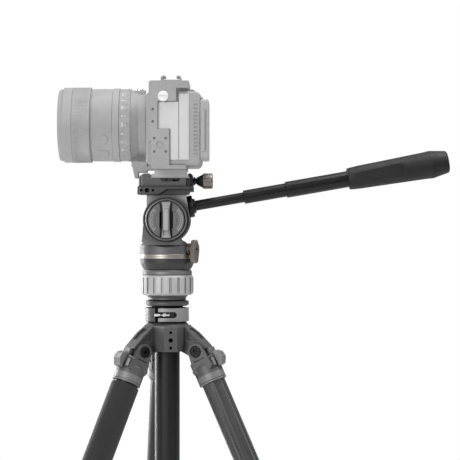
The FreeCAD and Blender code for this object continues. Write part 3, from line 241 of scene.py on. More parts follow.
def brushed(name, tone, roughness=0.26, warm=0.0, stretch=(40.0, 40.0, 2400.0), black=None):
    """Turned or brushed bare metal with fine lines along one direction, blackened before a level of X."""
    f = Finish(name, metallic=1.0)
    f.soften(0.0003)
    lines = f.noise(1.0, 4.0, place=f.stretched(stretch))
    body = f.mix(f.remap(lines, 0.3, 0.7), grey(tone * 0.85, warm), grey(tone * 1.12, warm))
    if black is not None:
        bare = f.beyond("X", black)
        body = f.mix(bare, grey(0.018), body)
        f.link(f.remap(bare, 0.0, 1.0, 0.3, 1.0), "Metallic")
    # Lighter edges: partly rubbed bright, partly a painted highlight.
    edge = f.maths("MULTIPLY", f.edges(0.0005), 0.3)
    f.link(f.mix(edge, body, grey(min(1.0, tone * 1.5), warm * 0.6)), "Base Color")
    f.link(f.remap(lines, 0.3, 0.7, roughness - 0.08, roughness + 0.1), "Roughness")
    f.bump(lines, 0.00003, 0.6)
    return f.done()


def along_tube(down, foot):
    """Euler angles and shift that stand a tube upright on the Z axis, for a Mapping node."""
    z = -Vector(down).normalized()
    x = Vector((z.y, -z.x, 0.0)) if abs(z.z) < 0.999 else Vector((1, 0, 0))
    x.normalize()
    y = z.cross(x)
    turn = Matrix((x, y, z))
    return tuple(turn.to_euler("XYZ")), tuple(-(turn @ Vector(foot)))


def carbon(name, radius, down=(0, 0, -1), foot=(0, 0, 0), streak_and_sheen=0.5, tone=0.008):
    """Clear-coated carbon tube: a 2/2 twill of small tows round the tube, under long faint streaks, partly
    fibre, partly painted sheen.
    """
    f = Finish(name, specular=0.28, coat=0.12, coat_roughness=0.2)
    turn, shift = along_tube(down, foot)
    upright = f.node("Mapping", {"Vector": f.place, "Rotation": turn, "Location": shift}).outputs[0]
    xyz = f.node("SeparateXYZ", {0: upright}).outputs
    around = f.maths("MULTIPLY", f.maths("ARCTAN2", xyz["Y"], xyz["X"]), radius)
    tow = 0.0011
    u = f.maths("DIVIDE", around, tow)
    v = f.maths("DIVIDE", xyz["Z"], tow)
    step = f.maths("ADD", f.maths("FLOOR", u), f.maths("FLOOR", v))
    over = f.maths("LESS_THAN", f.maths("FLOORED_MODULO", step, 4.0), 2.0)
    across = f.maths("FRACT", u)
    length = f.maths("FRACT", v)
    crown_u = f.maths("MULTIPLY", across, f.maths("SUBTRACT", 1.0, across))
    crown_v = f.maths("MULTIPLY", length, f.maths("SUBTRACT", 1.0, length))
    crown = f.node("Mix", {0: over, 2: crown_u, 3: crown_v}).outputs[0]
    lines = f.node("CombineXYZ", {0: f.maths("MULTIPLY", u, 0.42), 1: 0.0, 2: f.maths("MULTIPLY", v, 0.006)})
    streaks = f.remap(f.noise(1.0, 3.0, 0.6, place=lines.outputs[0]), 0.35, 0.7)
    weave = f.mix(over, grey(tone * 0.8), grey(tone * 1.25))
    bright = f.mix(f.maths("MULTIPLY", streaks, streak_and_sheen), weave, grey(tone * 5.0))
    f.link(bright, "Base Color")
    f.link(f.remap(f.maths("ADD", over, streaks), 0.0, 2.0, 0.5, 0.38), "Roughness")
    f.bump(crown, 0.00006, 0.35)
    return f.done()


def glass(name, tint, roughness=0.04):
    """A coated optical element: dark inside, with a painted reflection that tints it pale blue-grey where the
    surface is seen edge-on.
    """
    f = Finish(name, roughness=roughness, specular=0.8, coat=1.0, coat_roughness=0.02)
    # Painted reflection: the colour turns pale blue-grey towards an edge-on view.
    facing = f.node("LayerWeight", {"Blend": 0.35}).outputs["Facing"]
    f.link(f.mix(facing, tint, (0.30, 0.36, 0.42)), "Base Color")
    f.link(f.remap(f.noise(30.0), 0.3, 0.7, roughness, roughness + 0.04), "Roughness")
    return f.done()


def screen(name):
    """The pale screen: a flat glossy pane with a faint fine bump, smudged here and there."""
    # Painted light: the pane glows faintly.
    f = Finish(name, specular=0.5, coat=0.6, coat_roughness=0.05, lift=0.1)
    slow = f.noise(22.0, 4.0)
    f.link(f.mix(f.remap(slow, 0.3, 0.7), grey(0.32), grey(0.37)), "Base Color")
    f.link(f.remap(f.noise(70.0, 5.0), 0.4, 0.7, 0.16, 0.34), "Roughness")
    f.bump(f.noise(400.0), 0.00001)
    return f.done()


PALE = 0.26                # the camera's and the lens's grey
LIFT = 0.07                # a faint glow that keeps the pale camera's shadows as light as they look
BAND_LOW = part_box("pan_trim_band")[0][2]              # the pan housing is paler from this level up
KNOB_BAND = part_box("clamp_knob")[1][0] - 10.9 * MM    # the clamp knob is black before this level of X
GRIP_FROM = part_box("camera_body")[1][1] - 33.0 * MM   # the camera's leather starts at this level of Y
COLLAR_FROM = 29.0 * MM    # from a leg's hinge, down the leg, to its shoulder's lighter collar
FINISHES = {
    "black_casting": coated_metal("black_casting", 0.088, 0.46, grain=1900.0, depth=0.00006),
    "head_metal": coated_metal("head_metal", 0.075, 0.44, grain=2800.0),
    "pan_housing": coated_metal("housing_metal", 0.032, 0.46, grain=2800.0, zone=("Z", BAND_LOW, 0.095)),
    # Painted light: the tilt body is far lighter than the head's other metal, where the top plate shades it.
    "tilt_body": coated_metal("tilt_metal", 0.34, 0.46, grain=2800.0),
    "top_plate": coated_metal("plate_metal", 0.045, 0.4, grain=2800.0, edge_wear_and_highlight=0.4),
    "clamp_base": coated_metal("clamp_metal", 0.085, 0.42, grain=2800.0, edge_wear_and_highlight=0.4),
    "clamp_jaw": coated_metal("jaw_metal", 0.014, 0.4, grain=2800.0, edge_wear_and_highlight=0.5),
    # Painted light: the plate is lighter and glows more than the camera's grey, where the camera's shadow
    # falls on it.
    "quick_plate": coated_metal("plate_grey", PALE * 1.3, 0.5, edge_wear_and_highlight=0.1, metallic=0.0, specular=0.3,
                                lift=LIFT * 1.7),
    "bolt_black": coated_metal("bolt_black", 0.012, 0.28, edge_wear_and_highlight=0.5, metallic=0.5),
    "lock_rubber": rubber("lock_rubber", 0.026),
    "foot_rubber": rubber("foot_rubber", 0.022, 0.78),
    "foam": foam("foam", 0.016),
    "latch_metal": coated_metal("latch_metal", 0.17, 0.4, edge_wear_and_highlight=0.25),
    "collar_metal": coated_metal("collar_metal", 0.17, 0.42, edge_wear_and_highlight=0.22),
    "head_base": coated_metal("collar_grey", 0.15, 0.45, edge_wear_and_highlight=0.2),
    "drag_ring_grey": coated_metal("drag_ring_grey", 0.44, 0.5, grain=3200.0, edge_wear_and_highlight=0.2, metallic=0.2),
    "bronze": brushed("bronze", 0.4, 0.4, warm=0.06),
    "pan_lock_lever": coated_metal("dark_bronze", 0.17, 0.36, warm=0.13, metallic=0.6, edge_wear_and_highlight=0.5),
    "clamp_knob": brushed("knob_bronze", 0.22, 0.38, warm=0.07, stretch=(2400.0, 60.0, 60.0),
                          black=KNOB_BAND),
    "bright_steel": brushed("bright_steel", 0.85, 0.25),
    "handle_metal": coated_metal("handle_metal", 0.009, 0.34, edge_wear_and_highlight=0.1, metallic=0.3, specular=0.35),
    "grip_rubber": rubber("grip_rubber", 0.009, 0.58, grain=1500.0),
    "camera_grey": soft_plastic("camera_grey", PALE, lift=LIFT, leather_from=GRIP_FROM),
    "cage_grey": coated_metal("cage_grey", PALE * 0.92, 0.55, edge_wear_and_highlight=0.06, metallic=0.0, specular=0.3,
                              lift=LIFT),
    # Painted light: the monitor's casing glows more than the camera's grey.
    "screen_glass": soft_plastic("screen_casing", PALE, 0.45, lift=LIFT * 1.5),
    "door_grey": soft_plastic("door_grey", 0.47, 0.62, lift=LIFT),
    "lens_grey": coated_metal("lens_grey", PALE, 0.5, edge_wear_and_highlight=0.05, metallic=0.0, specular=0.3, lift=LIFT),
    "ring_grey": rubber("ring_grey", PALE * 0.95, 0.68, lift=LIFT),
    "optical_glass": glass("optical_glass", (0.10, 0.11, 0.13)),
    "cage_screws": coated_metal("screw_pale", 0.62, 0.5, edge_wear_and_highlight=0.2, metallic=0.0, specular=0.3, lift=LIFT),
    "column_clamp_band": coated_metal("band_grey", 0.09, 0.42, edge_wear_and_highlight=0.3),
    "column_clamp_lever": coated_metal("lever_grey", 0.27, 0.42, edge_wear_and_highlight=0.3),
}
for side in ("right", "left", "back"):
    hinge = JOINTS["leg_spread_" + side]["pos_m"]
    down = JOINTS["upper_lock_twist_" + side]["axis"]
    collar = Vector(hinge).dot(Vector(down)) + COLLAR_FROM
    FINISHES["leg_shoulder_" + side] = coated_metal(
        "shoulder_" + side, 0.088, 0.46, grain=1900.0, depth=0.00006, zone=(tuple(down), collar, 0.17))
    # Painted light: the right leg's carbon is a lighter copy with stronger streaks, where that leg catches
    # the light.
    streak_and_sheen, tone = (0.9, 0.02) if side == "right" else (0.4, 0.008)
    finish = carbon("carbon_" + side, 12.5 * MM, down, hinge, streak_and_sheen, tone)
    for part in ("upper_tube_", "middle_tube_", "lower_tube_"):
        FINISHES[part + side] = finish
FINISHES["center_column"] = carbon("carbon_column", 14.5 * MM, streak_and_sheen=0.25)
PRINT = soft_plastic("white_print", 0.75, 0.6)
PALE_PRINT = soft_plastic("pale_print", 0.7, 0.6, lift=LIFT)
PANE = screen("screen_pane")
# Painted shade: near-black for pieces that fill slots and pockets that lie in shade, and for black parts.
BLACK_AND_SHADE = coated_metal("black_and_painted_shade", 0.012, 0.6, edge_wear_and_highlight=0.0, metallic=0.0)
DIAL_GREY = coated_metal("dial_grey", 0.12, 0.4, grain=3000.0, edge_wear_and_highlight=0.4)
BAR_GREY = coated_metal("bar_grey", 0.33, 0.42, grain=3000.0, edge_wear_and_highlight=0.3)

for name, node in nodes.items():
    finish = FINISHES.get(name) or FINISHES[SLOTS[name]]
    if not node.data.materials:
        node.data.materials.append(finish)
    for slot in node.material_slots:
        slot.material = finish


# ---- mesh helpers ---------------------------------------------------------------------------------
def add(name, bm, finish, body, crease=32.0, bevel=0.0):
    """Makes an object from a bmesh, rides it on a body and gives it its finish."""
    bmesh.ops.recalc_face_normals(bm, faces=bm.faces)
    mesh = bpy.data.meshes.new(name)
    bm.to_mesh(mesh)
    bm.free()
    mesh.shade_smooth()
    mesh.set_sharp_from_angle(angle=math.radians(crease))
    mesh.materials.append(finish)
    piece = bpy.data.objects.new(name, mesh)
    scene.collection.objects.link(piece)
    if bevel:
        edge = piece.modifiers.new("edges", "BEVEL")
        edge.width = bevel
        edge.segments = 2
        edge.limit_method = "ANGLE"
        edge.angle_limit = math.radians(35)
    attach(piece, body)
    return piece


def frame_of(axis, up=(0, 0, 1)):
    """A turn that takes +Z to an axis and keeps +Y as near to up as it can."""
    z = Vector(axis).normalized()
    x = Vector(up).cross(z)
    if x.length < 1e-6:
        x = Vector((1, 0, 0))
    x.normalize()
    return Matrix((x, z.cross(x), z)).transposed().to_4x4()


def lathe(bm, profile, axis=(0, 0, 1), base=(0, 0, 0), segments=64):
    """Turns a profile of (radius, height) round an axis.

    An end at radius 0 makes a pole; a profile with no poles is closed into a ring."""
    place = Matrix.Translation(base) @ frame_of(axis)
    rings = []
    for r, h in profile:
        if r < 1e-9:
            rings.append([bm.verts.new(place @ Vector((0, 0, h)))])
        else:
            rings.append([bm.verts.new(place @ Vector((r * math.cos(a), r * math.sin(a), h)))
                          for a in (2 * math.pi * k / segments for k in range(segments))])
    pairs = list(zip(rings, rings[1:]))
    if len(rings[0]) > 1 and len(rings[-1]) > 1:
        pairs.append((rings[-1], rings[0]))
    for a, b in pairs:
        for k in range(segments):
            n = (k + 1) % segments
            quad = [a[k % len(a)], a[n % len(a)], b[n % len(b)], b[k % len(b)]]
            bm.faces.new(list(dict.fromkeys(quad)))


def prism(bm, outline, low, high, place=Matrix(), inset=0.0, crown=0.0):
    """Extrudes a closed outline of (x, y) from low to high along the local Z axis.

    With an inset, the top is chamfered in by that much over the last crown of its height."""
    def ring(points, z):
        return [bm.verts.new(place @ Vector((x, y, z))) for x, y in points]
    levels = [ring(outline, low)]
    if inset:
        levels.append(ring(outline, high - crown))
        outline = shrink(outline, inset)
    levels.append(ring(outline, high))
    count = len(outline)
    for a, b in zip(levels, levels[1:]):
        for k in range(count):
            n = (k + 1) % count
            bm.faces.new((a[k], a[n], b[n], b[k]))
    bm.faces.new(levels[0][::-1])
    bm.faces.new(levels[-1])


def shrink(outline, inset):
    """Moves a counter-clockwise outline inwards."""
    count = len(outline)
    moved = []
    for k in range(count):
        p, a, b = (Vector(outline[i % count]) for i in (k, k - 1, k + 1))
        n1 = Vector((-(p - a).y, (p - a).x)).normalized()
        n2 = Vector((-(b - p).y, (b - p).x)).normalized()
        n = (n1 + n2) / max(0.3, 1 + n1.dot(n2))
        moved.append(tuple(p + n * inset))
    return moved


def rounded(x0, x1, y0, y1, r, steps=6):
    """A counter-clockwise rectangle with round corners."""
    corners = [(x1 - r, y0 + r, -90), (x1 - r, y1 - r, 0), (x0 + r, y1 - r, 90), (x0 + r, y0 + r, 180)]
    return [(cx + x, cy + y) for cx, cy, a in corners for x, y in arc(r, a, a + 90, steps)]


def arc(r, a0, a1, steps=20):
    """Points round the origin from one angle to another, in degrees."""
    return [(r * math.cos(math.radians(a0 + (a1 - a0) * k / steps)),
             r * math.sin(math.radians(a0 + (a1 - a0) * k / steps))) for k in range(steps + 1)]


# ---- tilt-drag dial -------------------------------------------------------------------------------
def make_dial():
    """The dial: a rim, a dark groove, two face segments with a stepped recess, and the grip bar."""
    low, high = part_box("tilt_drag_dial")
    face_y = low[1]                       # the bar's outermost level
    radius = (high[0] - low[0]) / 2
    root_y = face_y + 11.0 * MM           # the dial's back
    out = frame_of((0, -1, 0))

    def at(y):
        return Matrix.Translation((TILT.x, y, TILT.z)) @ out

    bm = bmesh.new()
    profile = [(0, 0), (radius - 0.3 * MM, 0), (radius, 0.3 * MM), (radius, 3.6 * MM),
               (radius - 0.5 * MM, 4.4 * MM), (radius - 1.3 * MM, 4.6 * MM), (radius - 1.9 * MM, 4.1 * MM),
               (radius - 2.1 * MM, 2.2 * MM), (0, 2.2 * MM)]
    lathe(bm, profile, (0, -1, 0), (TILT.x, root_y, TILT.z), 96)
    stub = [(0, -11.6 * MM), (4.0 * MM, -11.6 * MM), (4.0 * MM, 0.5 * MM), (0, 0.5 * MM)]
    lathe(bm, stub, (0, -1, 0), (TILT.x, root_y, TILT.z), 24)
    rim = add("tilt_dial_rim", bm, DIAL_GREY, "tilt_dial")
    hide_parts("tilt_drag_dial")

    face_r = radius - 3.0 * MM
    gap = 5.9 * MM
    for sign, tag in ((-1, "left"), (1, "right")):
        bm = bmesh.new()
        top = math.degrees(math.asin(gap * 1.25 / face_r))
        outer = arc(face_r, 90 - top, -90 + top, 40)
        inner = [(gap * (1.0 + 0.25 * abs(t) ** 3), face_r * t * 0.97)
                 for t in (-0.92, -0.7, -0.45, 0, 0.45, 0.7, 0.92)]
        outline = [(sign * x, y) for x, y in outer + inner]
        if sign > 0:
            outline = outline[::-1]
        prism(bm, outline, 1.6 * MM, 4.5 * MM, at(root_y), 0.6 * MM, 0.6 * MM)
        add("tilt_dial_face_" + tag, bm, DIAL_GREY, "tilt_dial", bevel=0.15 * MM)
        bm = bmesh.new()
        step_r = 12.6 * MM
        cut = math.degrees(math.asin((gap + 0.9 * MM) / step_r))
        outer = arc(step_r, 90 - cut, -90 + cut, 28)
        outline = [(sign * x, y) for x, y in outer]
        if sign > 0:
            outline = outline[::-1]
        prism(bm, outline, 4.3 * MM, 5.3 * MM, at(root_y), 0.9 * MM, 0.8 * MM)
        add("tilt_dial_step_" + tag, bm, DIAL_GREY, "tilt_dial", bevel=0.12 * MM)
        bm = bmesh.new()
        for k in range(9):
            a = math.radians((k - 4) * 9.5) + (math.pi if sign < 0 else 0)
            long = 2.0 * MM if k % 4 == 0 else 1.2 * MM
            mark = Matrix.Rotation(a, 4, "Z")
            start, half = 15.6 * MM, 0.22 * MM
            line = [(start, -half), (start + long, -half), (start + long, half), (start, half)]
            prism(bm, line, 4.4 * MM, 4.56 * MM, at(root_y) @ mark)
        a0 = 180 - 42 if sign < 0 else -42
        line = arc(18.6 * MM, a0, a0 + 84, 30) + arc(18.3 * MM, a0 + 84, a0, 30)
        prism(bm, line, 4.4 * MM, 4.56 * MM, at(root_y))
        add("tilt_dial_scale_" + tag, bm, PRINT, "tilt_dial")

    half = [(5.1, 21.0), (5.3, 19.0), (4.2, 15.0), (3.7, 9.0), (3.6, 0.0), (3.7, -9.0), (4.4, -14.0),
            (5.4, -19.0), (5.2, -21.0)]
    outline = [(x * MM, y * MM) for x, y in half][::-1] + [(-x * MM, y * MM) for x, y in half]
    bm = bmesh.new()
    prism(bm, outline, 1.6 * MM, 9.6 * MM, at(root_y), 0.9 * MM, 1.4 * MM)
    bar = add("tilt_dial_bar", bm, BAR_GREY, "tilt_dial", bevel=0.3 * MM)
    for v in bar.data.vertices:
        reach = abs(v.co.z - TILT.z)
        lift = max(0.0, (reach - 14.0 * MM)) * 0.62
        if v.co.y < root_y - 4.0 * MM:
            v.co.y = min(v.co.y + lift, root_y - 4.0 * MM)
    bm = bmesh.new()
    inlay = rounded(-2.3 * MM, 2.3 * MM, -12.5 * MM, 12.5 * MM, 1.4 * MM)
    prism(bm, inlay, 9.5 * MM, 10.3 * MM, at(root_y), 0.4 * MM, 0.4 * MM)
    add("tilt_dial_bar_inlay", bm, BAR_GREY, "tilt_dial")


make_dial()


# ---- small hardware -------------------------------------------------------------------------------
def bolt_rim_highlights():
    """Bright rims round the hinge bolts' heads: a lighter finish that paints a highlight."""
    for side in ("right", "left", "back"):
        joint = JOINTS["leg_spread_" + side]
        axis = Vector(joint["axis"]).normalized()
        bm = bmesh.new()
        for sign in (-1, 1):
            base = Vector(joint["pos_m"]) + axis * sign * 14.75 * MM
            lathe(bm, [(6.75 * MM, -1.2 * MM), (7.1 * MM, -1.2 * MM), (7.1 * MM, -0.5 * MM),
                       (6.95 * MM, -0.3 * MM), (6.75 * MM, -0.4 * MM)], axis * sign, base, 40)
        # Painted highlight: the rims take the lighter latch finish.
        add("hinge_rim_highlight_" + side, bm, FINISHES["latch_metal"], "leg_" + side)


bolt_rim_highlights()


def band(bm, place, r0, r1, a0, a1, z0, z1, steps=10):
    """A piece of a ring round the local Z axis, between two angles in degrees."""
    outline = arc(r1, a0, a1, steps) + arc(r0, a1, a0, steps)
    prism(bm, outline, z0, z1, place)


def leg_place(side):
    """A leg's own frame: hinge at the origin, +Z up the leg, +X outwards."""
    up = -Vector(JOINTS["upper_lock_twist_" + side]["axis"]).normalized()
    across = Vector(JOINTS["leg_spread_" + side]["axis"]).normalized()
    turn = Matrix((-across.cross(up), -across, up)).transposed().to_4x4()
    return Matrix.Translation(JOINTS["leg_spread_" + side]["pos_m"]) @ turn


def latch_windows():
    """A dark band as painted shade in the slot on each side of a latch, and the pale guide plate that shows
    in it.
    """
    for side in ("right", "left", "back"):
        place = leg_place(side)
        for sign, tag in ((-1, "a"), (1, "b")):
            # Painted shade: a dark band fills each slot's gap.
            bm = bmesh.new()
            band(bm, place, 17.0 * MM, 18.05 * MM, *sorted((sign * 25, sign * 47)), -23.6 * MM, -12.0 * MM)
            add("latch_slot_shade_%s_%s" % (side, tag), bm, BLACK_AND_SHADE, "leg_" + side)
            bm = bmesh.new()
            band(bm, place, 17.0 * MM, 18.5 * MM, *sorted((sign * 30, sign * 41)), -22.4 * MM, -13.4 * MM)
            add("latch_guide_%s_%s" % (side, tag), bm, FINISHES["latch_metal"], "leg_" + side,
                bevel=0.2 * MM)


latch_windows()


def clamp_pocket():
    """The black slide and its catch in the plate clamp's front pocket; their near-black is also painted shade
    in the pocket.
    """
    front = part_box("clamp_base")[0][1]
    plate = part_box("quick_plate")[0][2]
    place = Matrix.Translation((0, front, plate)) @ frame_of((0, -1, 0))
    slide = [(-7.6, -0.1), (-6.6, -3.3), (-4.6, -4.5), (5.2, -4.6), (7.4, -3.2), (8.2, -0.1)]
    catch = [(5.8, -2.2), (14.6, -2.2), (15.4, -0.2), (5.0, -0.2)]
    for tag, outline, deep, proud in (("slide", slide, 2.0, 0.25), ("catch", catch, 1.0, 0.9)):
        bm = bmesh.new()
        prism(bm, [(x * MM, z * MM) for x, z in outline], -deep * MM, proud * MM, place, 0.3 * MM, 0.2 * MM)
        add("clamp_" + tag, bm, BLACK_AND_SHADE, "tilt", bevel=0.15 * MM)
    bm = bmesh.new()
    head = [(0, -1.5 * MM), (1.5 * MM, -1.5 * MM), (1.5 * MM, 0.6 * MM), (1.2 * MM, 0.9 * MM), (0, 0.9 * MM)]
    lathe(bm, head, (0, -1, 0), (-0.5 * MM, front, plate - 2.1 * MM), 24)
    add("clamp_catch_screw", bm, FINISHES["bolt_black"], "tilt")


clamp_pocket()


def clamp_screw():
    """The bright draw screw and thumb nut that show through the column clamp's lever."""
    pin = Vector(JOINTS["clamp_lever_flip"]["pos_m"])
    end = Matrix.Rotation(math.radians(30), 4, "Z") @ pin
    along = (Vector((end.x, end.y, 0)) - Vector((pin.x, pin.y, 0))).normalized()
    bm = bmesh.new()
    lathe(bm, [(0, -7.4 * MM), (1.9 * MM, -7.4 * MM), (1.9 * MM, -3.6 * MM), (1.55 * MM, -3.4 * MM),
               (1.55 * MM, 2.4 * MM), (0, 2.4 * MM)], along, pin, 24)
    add("clamp_draw_screw", bm, FINISHES["bright_steel"], "spider")
    bm = bmesh.new()
    lathe(bm, [(0, 2.2 * MM), (2.3 * MM, 2.2 * MM), (2.8 * MM, 2.7 * MM), (2.8 * MM, 5.4 * MM),
               (2.3 * MM, 5.9 * MM), (1.8 * MM, 6.0 * MM), (1.8 * MM, 9.4 * MM), (1.4 * MM, 9.8 * MM),
               (0, 9.8 * MM)], along, pin, 24)
    add("clamp_thumb_nut", bm, FINISHES["bright_steel"], "spider")


clamp_screw()


# ---- lens -----------------------------------------------------------------------------------------
def ribbed_ring(bm, x0, x1, radius, inner, count, depth, margin):
    """A ring on the lens's axis with fine ribs between two plain margins."""
    levels = [(x0, -0.5 * MM, 0), (x0 + 0.5 * MM, 0, 0), (x0 + margin, 0, 0), (x0 + margin + depth, 0, 1),
              (x1 - margin - depth, 0, 1), (x1 - margin, 0, 0), (x1 - 0.5 * MM, 0, 0), (x1, -0.5 * MM, 0)]
    rings = []
    steps = count * 4
    for x, offset, ribbed in levels:
        ring = []
        for k in range(steps):
            a = 2 * math.pi * k / steps
            r = radius + offset - (depth if ribbed and k % 4 >= 2 else 0)
            ring.append(bm.verts.new((x, LENS.y + r * math.cos(a), LENS.z + r * math.sin(a))))
        rings.append(ring)
    turns = [2 * math.pi * k / steps for k in range(steps)]
    for x in (x1, x0):
        rings.append([bm.verts.new((x, LENS.y + inner * math.cos(a), LENS.z + inner * math.sin(a)))
                      for a in turns])
    for a, b in zip(rings, rings[1:] + rings[:1]):
        for k in range(steps):
            n = (k + 1) % steps
            bm.faces.new((a[k], a[n], b[n], b[k]))


def focus_ribs():
    """The focus ring, with finer ribs than the CAD solid that it stands for."""
    low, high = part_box("lens_focus_ring")
    bm = bmesh.new()
    ribbed_ring(bm, low[0], high[0], (high[2] - low[2]) / 2, 36.6 * MM, 150, 0.35 * MM, 2.6 * MM)
    ring = add("lens_focus_ribs", bm, FINISHES["ring_grey"], "focus_ring")
    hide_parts("lens_focus_ring")


focus_ribs()


def glyphs(word, size):
    """A word's flat faces, centred, as lists of points."""
    curve = bpy.data.curves.new("glyphs", "FONT")
    curve.body = word
    curve.size = size
    curve.align_x = "CENTER"
    curve.align_y = "CENTER"
    curve.offset = size * 0.02
    holder = bpy.data.objects.new("glyphs", curve)
    scene.collection.objects.link(holder)
    flat = bpy.data.meshes.new_from_object(holder)
    bpy.data.objects.remove(holder)
    bpy.data.curves.remove(curve)
    points = [v.co.copy() for v in flat.vertices]
    faces = [list(p.vertices) for p in flat.polygons]
    bpy.data.meshes.remove(flat)
    return points, faces


def on_ring(x, up, radius):
    """A point on the lens's side: up is the angle above the port side, in radians."""
    return Vector((x, LENS.y - radius * math.cos(up), LENS.z + radius * math.sin(up)))


def print_round(name, marks, x, radius, size, finish, body):
    """Prints generic numbers round the lens: marks are (word, degrees above the port side)."""
    bm = bmesh.new()
    for word, degrees in marks:
        points, faces = glyphs(word, size)
        verts = [bm.verts.new(on_ring(x - p.y, math.radians(degrees) + p.x / radius, radius)) for p in points]
        for face in faces:
            bm.faces.new([verts[i] for i in face])
    return add(name, bm, finish, body)


def ticks_round(name, x0, x1, radius, angles, width, finish, body):
    """Short printed lines round the lens."""
    bm = bmesh.new()
    for degrees in angles:
        a = math.radians(degrees)
        half = width / radius / 2
        verts = [bm.verts.new(on_ring(x, a + side, radius)) for x, side in
                 ((x0, -half), (x1, -half), (x1, half), (x0, half))]
        bm.faces.new(verts)
    return add(name, bm, finish, body)


IRIS_R = 41.86 * MM        # just off the iris ring's surface
BARREL_R = 41.96 * MM      # just off the barrel's surface


def lens_print():
    """Generic aperture numbers with their ticks, and an index line with a short scale on the barrel."""
    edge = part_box("lens_iris_ring")[0][0]
    words = ("16", "11", "8", "5.6", "4", "2.8", "2", "1.4")
    stops = list(zip(words, (-46, -31, -17, -3, 11, 25, 39, 53)))
    angles = [a for _, a in stops]
    print_round("iris_numbers", stops, edge + 3.9 * MM, IRIS_R, 3.3 * MM, PALE_PRINT,
                "iris_ring")
    ticks_round("iris_ticks", edge + 6.4 * MM, edge + 7.8 * MM, IRIS_R, angles, 0.4 * MM, PALE_PRINT,
                "iris_ring")
    ticks_round("index_line", edge - 22.6 * MM, edge - 19.2 * MM, BARREL_R, [-56], 0.5 * MM, PALE_PRINT,
                "camera")
    ticks_round("index_scale", edge - 18.6 * MM, edge - 18.0 * MM, BARREL_R, range(-64, -47, 2), 0.45 * MM,
                PALE_PRINT, "camera")


def lens_button():
    """The round button on the barrel, with a low rim round it."""
    centre = (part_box("lens_focus_ring")[1][0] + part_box("lens_iris_ring")[0][0]) / 2 + 0.2 * MM
    turns = [2 * math.pi * k / 40 for k in range(40)]
    up = math.radians(-25)
    bm = bmesh.new()

    def ring(r, height):
        places = [(centre + r * math.cos(a), up + r * math.sin(a) / BARREL_R) for a in turns]
        return [bm.verts.new(on_ring(x, angle, BARREL_R + height)) for x, angle in places]

    for r0, r1, height in ((4.6 * MM, 5.2 * MM, 0.25 * MM), (0.0, 4.1 * MM, 0.45 * MM)):
        inner = ring(r0, height) if r0 else None
        outer = ring(r1, height)
        skirt = ring(r1, -0.3 * MM)
        for k in range(40):
            n = (k + 1) % 40
            if inner:
                bm.faces.new((inner[k], inner[n], outer[n], outer[k]))
            bm.faces.new((outer[k], outer[n], skirt[n], skirt[k]))
        if not inner:
            bm.faces.new(outer)
    add("lens_button_rim", bm, FINISHES["lens_grey"], "camera")


lens_print()
lens_button()


# ---- camera body ----------------------------------------------------------------------------------
BODY_LOW, BODY_HIGH = (Vector(v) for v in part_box("camera_body"))
BODY_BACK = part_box("port_door_rear")[1][0] + 13.6 * MM     # the face behind the monitor and controls
BODY_TOP = BODY_HIGH.z - 9.4 * MM                          # the deck that the dials stand on
CONTROLS_Y = BODY_HIGH.y - 22.0 * MM                       # the middle of the controls on the back


def on_back(y, z, x=BODY_BACK):
    """A place on a surface that faces back."""
    return Matrix.Translation((x, y, z)) @ frame_of((1, 0, 0))


def turned(bm, profile, axis, base, segments):
    """A turned piece from a profile of (radius, height) in millimetres."""
    lathe(bm, [(r * MM, h * MM) for r, h in profile], axis, base, segments)


def monitor_pane():
    """The glossy pane in the monitor's casing."""
    low, high = (Vector(v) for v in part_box("camera_monitor"))
    y0, y1 = low.y + 9.4 * MM, high.y - 5.2 * MM
    z0, z1 = low.z + 6.0 * MM, high.z - 5.6 * MM
    w, h = (y1 - y0) / 2, (z1 - z0) / 2
    bm = bmesh.new()
    place = on_back((y0 + y1) / 2, (z0 + z1) / 2, high.x - 0.85 * MM)
    prism(bm, rounded(-w, w, -h, h, 1.5 * MM), 0, 0.45 * MM, place, 0.2 * MM, 0.15 * MM)
    add("monitor_pane", bm, PANE, "monitor")


def back_controls():
    """The wheel with its ring and centre button, four buttons and a joystick."""
    backwards = (1, 0, 0)
    wheel = (BODY_BACK, CONTROLS_Y, LENS.z - 16 * MM)
    bm = bmesh.new()
    turned(bm, [(0, -1), (11.4, -1), (11.4, 0.5), (10.6, 0.8), (0, 0.8)], backwards, wheel, 48)
    turned(bm, [(4.6, 0.5), (9.6, 0.5), (9.6, 1.8), (8.9, 2.4), (5.4, 2.2), (4.6, 1.6)], backwards, wheel, 60)
    turned(bm, [(0, 0.5), (3.9, 0.5), (3.9, 1.9), (3.4, 2.3), (0, 2.3)], backwards, wheel, 40)
    add("control_wheel", bm, FINISHES["cage_grey"], "camera")
    bm = bmesh.new()
    for dy, dz in ((9.5, 16.0), (-8.5, 16.0), (9.0, -34.0), (-8.0, -34.0)):
        base = (BODY_BACK, CONTROLS_Y + dy * MM, LENS.z + dz * MM)
        turned(bm, [(0, -1), (3.1, -1), (3.1, 0.9), (2.6, 1.3), (0, 1.3)], backwards, base, 32)
    add("back_buttons", bm, FINISHES["cage_grey"], "camera")
    bm = bmesh.new()
    stick = [(0, -1), (4.8, -1), (4.8, 0.4), (3.4, 0.8), (2.2, 1.6), (2.6, 3.0), (2.4, 3.6), (0, 3.4)]
    turned(bm, stick, backwards, (BODY_BACK, CONTROLS_Y, LENS.z + 6 * MM), 40)
    add("joystick", bm, FINISHES["cage_grey"], "camera")


